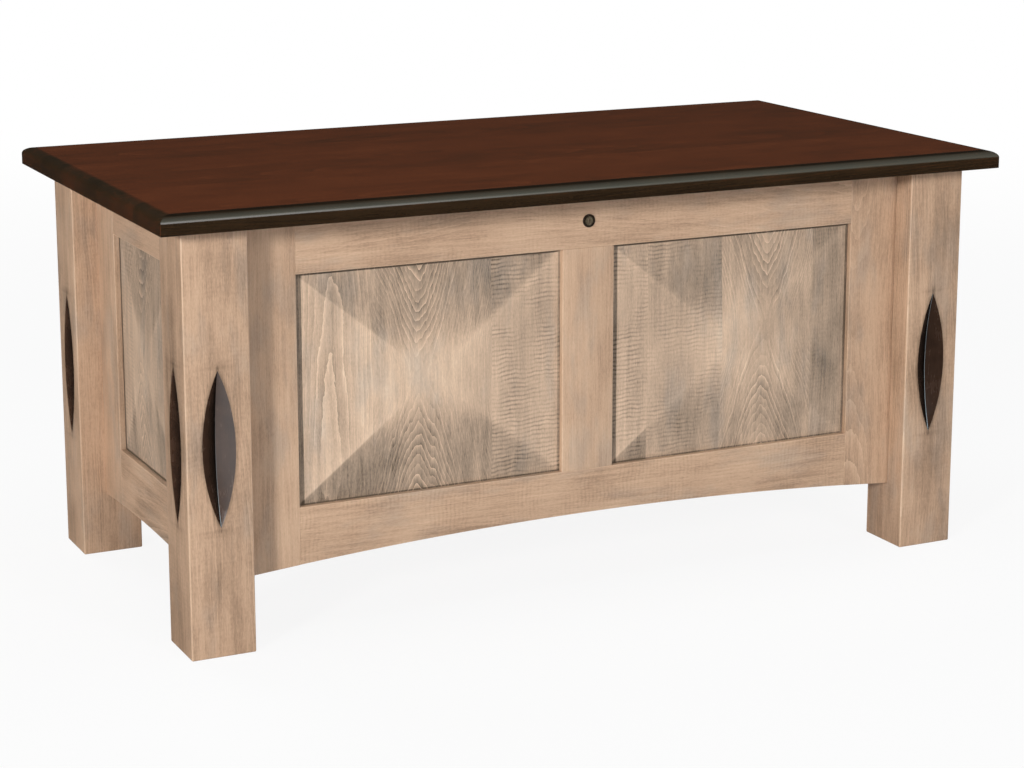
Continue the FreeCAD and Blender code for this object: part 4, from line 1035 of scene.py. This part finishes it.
# %% [markdown]
# ### The two front panels
# The left one has a plain board, a wide flat-sawn board with cathedrals above and below, and a
# curly board. The right one has two curly boards, a cathedral board and a narrow darker one.

# %% Make the front panels
LEFT_SPAN, RIGHT_SPAN = (-STILE_IN, -MID), (MID, STILE_IN)
# Each panel's tones are stain and painted shade and light on its facets, and its hips wear and painted
# highlights.
FRONT_PANELS = {
    "front_left_panel": dict(
        span=LEFT_SPAN,
        seams=(-277.0, -125.0),
        lays=[
            dict(pith=(4.0, 34.0, 100.0), lean=0.022, lines=0.8, width=1.3, curl=0.1, number=41.3),
            dict(pith=(18.0, 50.0, 0.0), lean=-0.33, lines=1.05, width=1.25, peak=0.28, jag=9.0, number=42.9),
            dict(pith=(90.0, 70.0, 60.0), lean=0.05, lines=0.4, curl=1.4, tone=0.02, number=43.4),
        ],
        tones=[(-0.3, -0.17, -0.2), (-0.12, -0.19, -0.2), (0.1, 0.08, 0.0), (0.0, 0.0, 0.02)],
        hips=(0.06, 0.02, 0.0, 0.12),
        glow=0.34,
    ),
    "front_right_panel": dict(
        span=RIGHT_SPAN,
        seams=(84.0, 187.0, 318.0),
        lays=[
            dict(pith=(60.0, 70.0, 0.0), lean=0.05, lines=0.3, curl=1.3, number=51.2),
            dict(pith=(-80.0, 60.0, 0.0), lean=0.05, lines=0.35, curl=1.0, tone=-0.04, number=52.6),
            dict(
                pith=(4.0, 50.0, -16.0),
                lean=-0.33,
                lines=1.15,
                width=1.3,
                peak=0.28,
                jag=6.5,
                curl=0.1,
                number=53.8,
            ),
            dict(pith=(90.0, 80.0, 0.0), lean=0.03, lines=0.7, curl=0.2, tone=-0.04, number=54.1),
        ],
        tones=[
            (-0.26, -0.07, -0.08, 0.0),
            (-0.09, -0.13, -0.08, -0.24),
            (0.08, -0.02, 0.0, 0.0),
            (0.0, 0.0, -0.02, -0.14),
        ],
        hips=(0.06, 0.04, 0.03, 0.05),
        glow=0.22,
    ),
}
for node, told in FRONT_PANELS.items():
    made = panel(node, "front", "figured_maple", figured_maple, PANEL_RISE, **told)
    print(node, len(told["lays"]), "boards,", len(made.data.polygons), "faces")


# %% [markdown]
# ### Side and back panels
# The sides have one pyramid panel each. The back panels are flat and plain.

# %% Make the other panels
# The side panels' tones are likewise stain and painted shade and light, and their hips wear and painted
# highlights.
SIDE_PANEL = dict(
    span=(-SIDE_STILE_IN, SIDE_STILE_IN),
    seams=(-30.0, 52.0),
    tones=[(-0.16, -0.12, -0.14), (-0.12, -0.16, -0.12), (-0.04, -0.04, -0.04), (0.03, 0.03, 0.03)],
    hips=(0.05, 0.05, 0.05, 0.05),
    glow=0.12,
)
BACK_PANEL, BACK_SEAMS = dict(tones=[(0, 0, 0)] * 4, hips=(0, 0, 0, 0), glow=0.0), (110.0, 236.0)
for wall, number in (("left", 61.0), ("right", 66.0)):
    lays = [
        dict(pith=(20.0, 60.0, 40.0), lines=0.7, curl=0.2, tone=-0.02, number=number),
        dict(
            pith=(-6.0, 50.0, -30.0), lean=-0.3, width=1.2, peak=0.28, jag=6.0, curl=0.1, number=number + 1.3
        ),
        dict(pith=(50.0, 70.0, 0.0), lean=0.1, lines=0.5, curl=0.8, tone=-0.03, number=number + 2.6),
    ]
    panel(f"{wall}_panel", wall, "figured_maple", figured_maple, PANEL_RISE, lays=lays, **SIDE_PANEL)
for name, span, number in (("left", LEFT_SPAN, 71.0), ("right", RIGHT_SPAN, 76.0)):
    told = dict(span=span, seams=tuple(span[0] + seam for seam in BACK_SEAMS), **BACK_PANEL)
    lays = [
        dict(pith=(15.0 * k, 40.0, 30.0 * k), lean=0.16, lines=0.9, tone=0.02 * k, number=number + k)
        for k in (-1, 0, 1)
    ]
    panel(f"back_{name}_panel", "back", "plain_maple", plain_maple, 0.0, lays=lays, **told)
print("side and back panels made")


# %% [markdown]
# ## The lid
# The lid is one thick slab, glued up from boards that run its whole length. Its edge stands upright
# for a bit more than half the thickness and then rolls over the top in a quarter ellipse, mitred at
# the corners. The surface is the edge's profile carried round the slab's outline: at each level of
# the profile the outline is drawn in by the profile's inset.

# %% Lid shape
LID_X, LID_Y, LID_LOW, LID_HIGH = 545.5, 284.0, 490.5, 512.5
LID_FACE, LID_ROUND, LID_EASE, LID_CORNER = 13.2, 15.5, 0.8, 0.7
LID_SEAMS = (-186.0, -96.0, 8.0, 104.0, 196.0)
EASE_STEPS, ROLL_STEPS, CORNER_STEPS = 4, 19, 4


def lid_profile():
    """Inset and height: a small rounding under the edge, the upright face, a quarter ellipse."""
    turn = np.linspace(0, math.pi / 2, EASE_STEPS)
    under = np.stack([LID_EASE * (1 - np.sin(turn)), LID_LOW + LID_EASE * (1 - np.cos(turn))], axis=1)
    swing = np.linspace(0, math.pi / 2, ROLL_STEPS)
    tall = LID_HIGH - LID_LOW - LID_FACE
    over = np.stack([LID_ROUND * (1 - np.cos(swing)), LID_HIGH - tall * (1 - np.sin(swing))], axis=1)
    return np.concatenate([under, over])


def lid_outline(inset):
    """The outline drawn in by the inset, with its corners barely rounded and a point at each
    glue line on the two short ends."""
    back_in, radius = max(LID_CORNER, inset), max(LID_CORNER - inset, 0)
    points = []
    for quarter, (sx, sy) in enumerate(((1, -1), (1, 1), (-1, 1), (-1, -1))):
        for turn in (quarter - 1) * math.pi / 2 + np.linspace(0, math.pi / 2, CORNER_STEPS):
            x = sx * (LID_X - back_in) + radius * math.cos(turn)
            points.append((x, sy * (LID_Y - back_in) + radius * math.sin(turn)))
        if quarter % 2 == 0:
            points += [(sx * (LID_X - inset), seam) for seam in LID_SEAMS[::sx]]
    return points


def lid_strips(rows, columns):
    """The underside and the top: one long face for each board, from end to end."""
    spots = np.arange(len(LID_SEAMS) + 2)
    left, right = columns - CORNER_STEPS - spots, CORNER_STEPS - 1 + spots
    strips = np.stack([left[:-1], right[:-1], right[1:], left[1:]], axis=1)
    return np.concatenate([strips, strips + (rows - 1) * columns])


print("lid:", 2 * LID_X, "x", 2 * LID_Y, "mm, profile of", len(lid_profile()), "points")


# %% [markdown]
# ### The lid's finish
# Along the front and back the rolled edge is darkened nearly black, partly stain and partly painted
# shade, so that it shows what it mirrors. The ends are darkened less, which leaves them redder, with
# painted shade that follows the roll. The darkening follows the levels of the profile: level 3 is
# the foot of the upright face and level 4 its top, and each one after that is 5 degrees of the roll.
# At the mitres two rolled edges meet in a crisp line, so a shallow angle already counts as sharp
# there.

# %% Make the lid
# Up the long edges and the ends: stain and painted shade by level, and how much paler wear and a painted
# highlight make the edge beneath and at the corners.
EDGE_LEVELS, EDGE_STAIN_AND_SHADE, EDGE_WEAR_AND_SHEEN = (3, 4, 7, 14, 17), (-0.36, -0.28, -0.34, -0.35, -0.44), 0.12
END_LEVELS, END_PAINTED_SHADE = (4, 14, 19, 22), (-0.23, -0.29, -0.25, -0.1)
MITRE_SHARP = math.radians(12)
# Each board's middle, where its pith is across and along, its tone and its number.
LID_BOARDS = (
    (-230, 20, 200, 0.0, 81.1),
    (-140, -30, -150, 0.03, 82.3),
    (-44, 10, 100, -0.02, 83.7),
    (56, 40, -250, 0.02, 84.2),
    (150, -15, 60, -0.02, 85.9),
    (240, 5, -90, 0.01, 86.4),
)


def edge_tone_and_shade(rings, faces):
    """Stain and painted shade by level, one row of them for the long sides and one for the ends,
    both made paler where the edge turns a corner, partly wear and partly a painted highlight."""
    rows, columns = rings.shape[:2]
    column, corner_level = faces[:, 0] % columns, faces // columns
    long_side = np.interp(np.arange(rows), EDGE_LEVELS, EDGE_STAIN_AND_SHADE)
    long_side[: EASE_STEPS - 1] += EDGE_WEAR_AND_SHEEN
    short_end = np.interp(np.arange(rows), END_LEVELS, END_PAINTED_SHADE)
    step = np.abs(rings[EASE_STEPS - 1] - np.roll(rings[EASE_STEPS - 1], -1, axis=0))
    on_end = (step[:, 1] > step[:, 0])[column][:, None]
    at_corner = (np.linalg.norm(step, axis=1) < LID_CORNER)[column] & (corner_level[:, 0] < EASE_STEPS)
    tone_and_painted_light = np.where(on_end, short_end[corner_level], long_side[corner_level])
    return tone_and_painted_light + EDGE_WEAR_AND_SHEEN * at_corner[:, None]


profile = lid_profile()
rings = np.array([[(*spot, height) for spot in lid_outline(inset)] for inset, height in profile])
rows, columns = rings.shape[:2]
faces, strips = grid_faces(rows, columns, closed=True), lid_strips(rows, columns)
everything = np.concatenate([faces, strips])
lid_points = rings.reshape(-1, 3)
lid_axes = ((0, 1, 0), (0, 0, -1), (1, 0, 0))
lid_boards = [
    board(*lid_axes, (0, y, LID_HIGH), (across, 70.0, along), number, 0.05, 0.8, curl=0.15, tone=tone)
    for y, across, along, tone, number in LID_BOARDS
]
lid = make_piece(
    "lid",
    lid_points,
    everything,
    lid_boards,
    [dark_lid],
    smooth=[*(faces[:, 0] // columns != EASE_STEPS - 1), *[0] * len(strips)],
    board_of=np.searchsorted(LID_SEAMS, lid_points[everything][:, :, 1].mean(axis=1)),
    tone_and_painted_light=[*edge_tone_and_shade(rings, faces), *[np.zeros(4)] * len(strips)],
)
lid.data.set_sharp_from_angle(angle=MITRE_SHARP)
print("lid:", len(lid.data.polygons), "faces")


# %% [markdown]
# ## The floor inside
# Four boards lie loose on cleats and a bearer, tongued into one another with a hair's gap. They are
# the only bare wood in the chest: reddish cedar, as is usual where blankets are kept.

# %% Make the floor boards
TONGUE, TONGUE_THICK, SLACK, CHAMFER = 5.0, 4.0, 0.15, 0.6
BOARDS, END_RIM, BOARD_END = 4, 0.5, 0.99


def stick_points(loop, ends, shrink, axis):
    """Four rings of a straight stick along an axis: the loop, drawn in towards its middle at the
    very ends. Ring = middle + (loop - middle) x size."""
    loop = np.array(loop)
    middle = loop.mean(axis=0)
    stations = ((ends[0], shrink), (ends[0] + END_RIM, 1), (ends[1] - END_RIM, 1), (ends[1], shrink))
    rings = [np.insert(middle + (loop - middle) * size, axis, place, axis=1) for place, size in stations]
    return np.concatenate(rings)


def board_section(y0, y1, z0, z1, tongue, groove):
    """The loop of a floor board's section in Y and Z: chamfered, with a tongue and a groove."""
    middle, half = (z0 + z1) / 2, TONGUE_THICK / 2
    loop = [(y0 + CHAMFER, z1), (y0, z1 - CHAMFER)]
    if groove:
        deep, upper, lower = y0 + TONGUE + 2 * SLACK, middle + half + SLACK, middle - half - SLACK
        loop += [(y0, upper), (deep, upper), (deep, lower), (y0, lower)]
    loop += [(y0, z0 + CHAMFER), (y0 + CHAMFER, z0), (y1 - CHAMFER, z0), (y1, z0 + CHAMFER)]
    if tongue:
        tip, upper, lower = y1 + tongue, middle + half, middle - half
        loop += [(y1, lower), (tip, lower), (tip, upper), (y1, upper)]
    return loop + [(y1, z1 - CHAMFER), (y1 - CHAMFER, z1)]


for number in range(1, BOARDS + 1):
    node = f"floor_board_{number}"
    low, high = (np.array(corner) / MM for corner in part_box(node))
    tongue = TONGUE if number < BOARDS else 0.0
    front, rear = low[1], high[1] - tongue
    loop = board_section(front, rear, low[2], high[2], tongue, groove=number > 1)
    points = stick_points(loop, (low[0], high[0]), BOARD_END, axis=0)
    pith = (18.0 * math.sin(number * 2.1), 26.0, 160.0 * math.cos(number))
    tone, origin = 0.05 * math.sin(number * 3.0), (0, (front + rear) / 2, high[2])
    lay = board((0, 1, 0), (0, 0, -1), (1, 0, 0), origin, pith, 90.0 + number, 0.05, 1.1, tone=tone)
    faces = [*grid_faces(4, len(loop), closed=True), *end_caps(4, len(loop))]
    make_piece(node, points, faces, [lay], [cedar])
print("floor boards:", BOARDS)


# %% [markdown]
# ### Cleats and bearer
# Two cleats on the side walls and one bearer across the middle carry the floor. They are plain
# eight-sided sticks that run from front to back, with their arrises taken off.

# %% Make the cleats and the bearer
CUT, STICK_END = 1.0, 0.97
for node, number in (("left_floor_cleat", 95.0), ("right_floor_cleat", 96.2), ("floor_bearer", 97.5)):
    (x0, y0, z0), (x1, y1, z1) = (np.array(corner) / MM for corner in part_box(node))
    loop = [(x0 + CUT, z0), (x1 - CUT, z0), (x1, z0 + CUT), (x1, z1 - CUT)]
    loop += [(x1 - CUT, z1), (x0 + CUT, z1), (x0, z1 - CUT), (x0, z0 + CUT)]
    points = stick_points(loop, (y0, y1), STICK_END, axis=1)
    origin = ((x0 + x1) / 2, 0, (z0 + z1) / 2)
    lay = board((1, 0, 0), (0, 0, 1), (0, 1, 0), origin, (9.0, 50.0, 20.0), number)
    faces = [*grid_faces(4, len(loop), closed=True), *end_caps(4, len(loop))]
    make_piece(node, points, faces, [lay], [plain_maple])
print("cleats and bearer made")


# %% [markdown]
# ## The lock
# A small cam lock sits in the top rail. Its barrel and bezel are turned, so they are a profile spun
# round the lock's axis: the bezel has a rounded outer rim, a shallow channel and an inner rim that
# holds the plug.

# %% Make the lock cylinder
LOCK_CENTRE, LOCK_FACE, BARREL_END = 456.0, -220.25, -192.25
BEZEL, BEZEL_ROUND, BARREL, PLUG_BORE = 8.0, 0.8, 7.0, 5.05
THREAD_FROM, THREAD_PITCH, THREAD_DEEP, THREADS = 12.0, 1.1, 0.4, 14
RIM_STEPS, TURNS, TURNED_SHARP = 6, 72, math.radians(32)
# The bezel's face inwards of its rim, as a radius and a height over the rail.
CHANNEL = ((6.7, 1.55), (6.45, 1.15), (6.0, 1.1), (5.75, 1.5), (5.5, 1.6), (5.2, 1.5), (PLUG_BORE, 1.2))


def spun(node, body, finish, spots, centre_height):
    """Spins a closed profile of (radius, depth) round an axis along Y: x = radius x cos(angle),
    z = centre + radius x sin(angle). The first and last rings coincide and are merged."""
    radius, depth = np.array(spots).T
    angle = np.linspace(0, 2 * math.pi, TURNS + 1)[:, None]
    x, z = radius * np.cos(angle), centre_height + radius * np.sin(angle)
    points = np.stack([x, depth + 0 * angle, z], axis=-1).reshape(-1, 3)
    mesh = bpy.data.meshes.new(node)
    mesh.from_pydata((points * MM).tolist(), [], grid_faces(TURNS + 1, len(spots), closed=True).tolist())
    close_up(mesh)
    mesh.shade_smooth()
    mesh.set_sharp_from_angle(angle=TURNED_SHARP)
    mesh.materials.append(finish)
    piece = bpy.data.objects.new("turned_" + node, mesh)
    scene.collection.objects.link(piece)
    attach(piece, body)
    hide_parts(node)
    return piece


rim = []
for turn in np.linspace(0, math.pi / 2, RIM_STEPS):
    rim.append((BEZEL - BEZEL_ROUND * (1 - math.cos(turn)), LOCK_FACE - BEZEL_ROUND * (1 + math.sin(turn))))
channel = [(radius, LOCK_FACE - height) for radius, height in CHANNEL]
thread = []
for k in range(THREADS):
    start = LOCK_FACE + THREAD_FROM + k * THREAD_PITCH
    thread += [(BARREL, start), (BARREL - THREAD_DEEP, start + THREAD_PITCH / 2)]
rear = [(PLUG_BORE, BARREL_END), (BARREL, BARREL_END)]
barrel = rear + thread[::-1] + [(BARREL, LOCK_FACE), (BEZEL, LOCK_FACE)]
lock = spun("lock_cylinder", "case", dark_bronze, rim + channel + barrel, LOCK_CENTRE)
print("lock:", len(lock.data.polygons), "faces")


# %% [markdown]
# ## Finishes on the metal solids
# Hinges, screws, stays and the lock's inner parts already have their right shapes, so each keeps
# its solid and its material slots are filled with the finishes above.

# %% Dress the metal solids
METAL = (
    (antique_brass, ("hinge", "screws")),
    (black_steel, ("stay_housing", "stay_lever", "stay_link", "stay_bracket")),
    (bright_steel, ("stay_pivots", "stay_rivets", "lock_nut", "lock_cam", "lock_strike")),
    (plug_bronze, ("lock_plug",)),
)
dressed = 0
for name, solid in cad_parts.items():
    for finish, words in METAL:
        if any(word in name for word in words):
            for place in solid.material_slots:
                place.material = finish
            dressed += 1
print("dressed solids:", dressed)


# %% [markdown]
# ## Floor and background
# The chest stands on a plain pale floor. Looked at directly, the floor glows a little, so that it
# reads as white paper and keeps only a faint shadow, and it fades into the white background far
# away. It is a plain disc, wide enough for its rim to be lost in that white.

# %% Floor
FLOOR_RADIUS, FLOOR_CORNERS = 9.0, 96
angle = np.linspace(0, 2 * math.pi, FLOOR_CORNERS, endpoint=False)
disc = np.stack([FLOOR_RADIUS * np.cos(angle), FLOOR_RADIUS * np.sin(angle), 0 * angle], axis=1)
floor_mesh = bpy.data.meshes.new("studio_floor")
floor_mesh.from_pydata(disc.tolist(), [], [list(range(FLOOR_CORNERS))])
studio_floor = bpy.data.objects.new("studio_floor", floor_mesh)
scene.collection.objects.link(studio_floor)
print("floor radius:", FLOOR_RADIUS, "m")


# %% [markdown]
# ### White paper that mirrors dimly
# Three shaders share the floor. The camera sees mostly a white glow. The light that the floor throws
# back on the chest is that of ordinary matt white. What mirrors the floor sees it bright only in two
# pools, one by the key light and a weaker one behind the chest, so dark gloss stays dark.

# %% Floor finish
WHITE, PAPER = (1.0, 1.0, 1.0, 1.0), (0.84, 0.84, 0.84, 1.0)
GLOW = (1.2, 4.0, 0.9, 1.0)
# Each pool's place, where it begins and ends to fade, how bright it is and how bright beyond it.
POOLS = (((-1.45, -1.25, 0.0), 0.5, 1.4, 1.5, 0.02), ((1.3, 1.6, 0.0), 1.1, 2.2, 0.7, 0.0))
paper = Recipe(bpy.data.materials.new("studio_paper"))
place = paper.node("ShaderNodeTexCoord").outputs["Object"]
rays = paper.node("ShaderNodeLightPath").outputs
away = paper.vector("LENGTH", place, result="Value")
glow = paper.times(rays["Is Camera Ray"], paper.fade(away, *GLOW))
shine = paper.add(
    *(
        paper.fade(paper.vector("DISTANCE", place, spot, result="Value"), begin, end, bright, dim)
        for spot, begin, end, bright, dim in POOLS
    )
)
matt = paper.node("ShaderNodeBsdfDiffuse", {"Color": PAPER})
white, sheen = (
    paper.node("ShaderNodeEmission", {"Color": WHITE, "Strength": strength}) for strength in (1.0, shine)
)
plain = paper.node("ShaderNodeMixShader", {0: glow, 1: matt.outputs[0], 2: white.outputs[0]})
both = paper.node("ShaderNodeMixShader", {0: rays["Is Glossy Ray"], 1: plain.outputs[0], 2: sheen.outputs[0]})
paper.node("ShaderNodeOutputMaterial", {0: both.outputs[0]})
floor_mesh.materials.append(paper.owner)
print("pools of light:", len(POOLS))


# %% [markdown]
# ## Light
# Furniture is lit by a few big soft sources. The key stands low on the left, so the posts throw
# soft shadows across the recessed frame. A second softbox in front and a little to the right opens
# those shadows, and a long cool one overhead lights the lid. One behind and one on the right keep
# the other sides from falling dark. The front and overhead ones are hidden from mirrors, because
# the lid's gloss would show their shapes.

# %% Softboxes
AIM = (0.0, 0.0, 0.26)


def softbox(name, azimuth, elevation, distance, size, watts, shade, mirrored=True):
    """A rectangular lamp on a sphere round the chest: azimuth 0 is in front, positive to the right."""
    lamp = bpy.data.lights.new(name, "AREA")
    lamp.shape, (lamp.size, lamp.size_y) = "RECTANGLE", size
    lamp.energy, lamp.color = watts, shade
    holder = bpy.data.objects.new(name, lamp)
    scene.collection.objects.link(holder)
    a, e = math.radians(azimuth), math.radians(elevation)
    toward = np.array([math.sin(a) * math.cos(e), -math.cos(a) * math.cos(e), math.sin(e)])
    holder.location = np.array(AIM) + toward * distance
    flat = math.hypot(toward[0], toward[1])
    holder.rotation_euler = (math.atan2(flat, toward[2]), 0, math.atan2(toward[0], -toward[1]))
    holder.visible_glossy = mirrored


softbox("key", -53, 15, 7.0, (0.9, 0.9), 315.0, (1.0, 0.98, 0.95))
softbox("front", 11, 19, 5.2, (0.6, 2.6), 62.0, (1.0, 1.0, 1.0), mirrored=False)
softbox("overhead", 10, 78, 1.9, (2.6, 1.1), 18.0, (0.86, 0.95, 1.0), mirrored=False)
softbox("behind", 205, 50, 5.0, (2.0, 2.0), 60.0, (1.0, 1.0, 1.0))
softbox("right", 100, 18, 5.0, (2.0, 2.0), 52.0, (1.0, 0.99, 0.97))


# %% [markdown]
# ### The room
# Gloss shows the room round it, so the room is drawn for what mirrors it. It is white to the eye
# and dim to matt wood. In a mirror only a zone ahead and a little to the right of the middle is
# bright: a pale green ceiling that fades out behind, and a strong window low down in front. The
# lid's rolled front edge catches both as a grey band with a bright line under it, while the flat
# top, which mirrors the dark part, keeps its red-brown at a grazing angle.

# %% World
ROOM, MIRROR_DIM, CEILING, CEILING_LOW, WINDOW = 0.08, 0.02, 1.85, 0.3, 4.0
CEILING_TINT = colour(236, 254, 240)
# Each pair is where a fade along X, Y or Z of the way that a ray goes begins and ends.
ZONE_LEFT, ZONE_RIGHT, HORIZON = (0.1, 0.19), (0.68, 0.61), (0.02, 0.12)
BEHIND, AHEAD, OVERHEAD = 0.6, -0.9, (0.2, 0.42)
WINDOW_SILL, WINDOW_RIGHT = (-0.5, -0.9), (0.55, 0.3)
scene.world = bpy.data.worlds.new("room")
room = Recipe(scene.world)
to_x, to_y, to_z = room.split(room.node("ShaderNodeTexCoord").outputs["Generated"])[:3]
rays = room.node("ShaderNodeLightPath").outputs
direct = room.math("MAXIMUM", rays["Is Camera Ray"], rays["Is Transmission Ray"])
reach = {"Value": to_y, 1: BEHIND, 2: AHEAD, 3: 0.0, 4: CEILING}
ahead = room.node("ShaderNodeMapRange", reach).outputs[0]
ceiling = room.times(ahead, room.fade(to_z, *OVERHEAD, CEILING_LOW, 1.0))
window = room.times(room.fade(to_y, *WINDOW_SILL), room.fade(to_x, *WINDOW_RIGHT))
zone = room.times(room.fade(to_x, *ZONE_RIGHT), room.fade(to_x, *ZONE_LEFT))
zone = room.times(room.fade(to_z, *HORIZON), zone)
glare = room.times(zone, room.add(ceiling, room.times(window, WINDOW)))
mirrored = room.times(rays["Is Glossy Ray"], room.add(MIRROR_DIM, glare))
matt = room.math("SUBTRACT", 1.0, room.math("MAXIMUM", direct, rays["Is Glossy Ray"]))
strength = room.add(direct, mirrored, room.times(matt, ROOM))
cool = room.times(rays["Is Glossy Ray"], room.math("SUBTRACT", 1.0, window))
tint = room.blend(cool, WHITE, CEILING_TINT)
sky = room.node("ShaderNodeBackground", {"Color": tint, "Strength": strength})
room.node("ShaderNodeOutputWorld", {0: sky.outputs[0]})
print("room light:", ROOM)
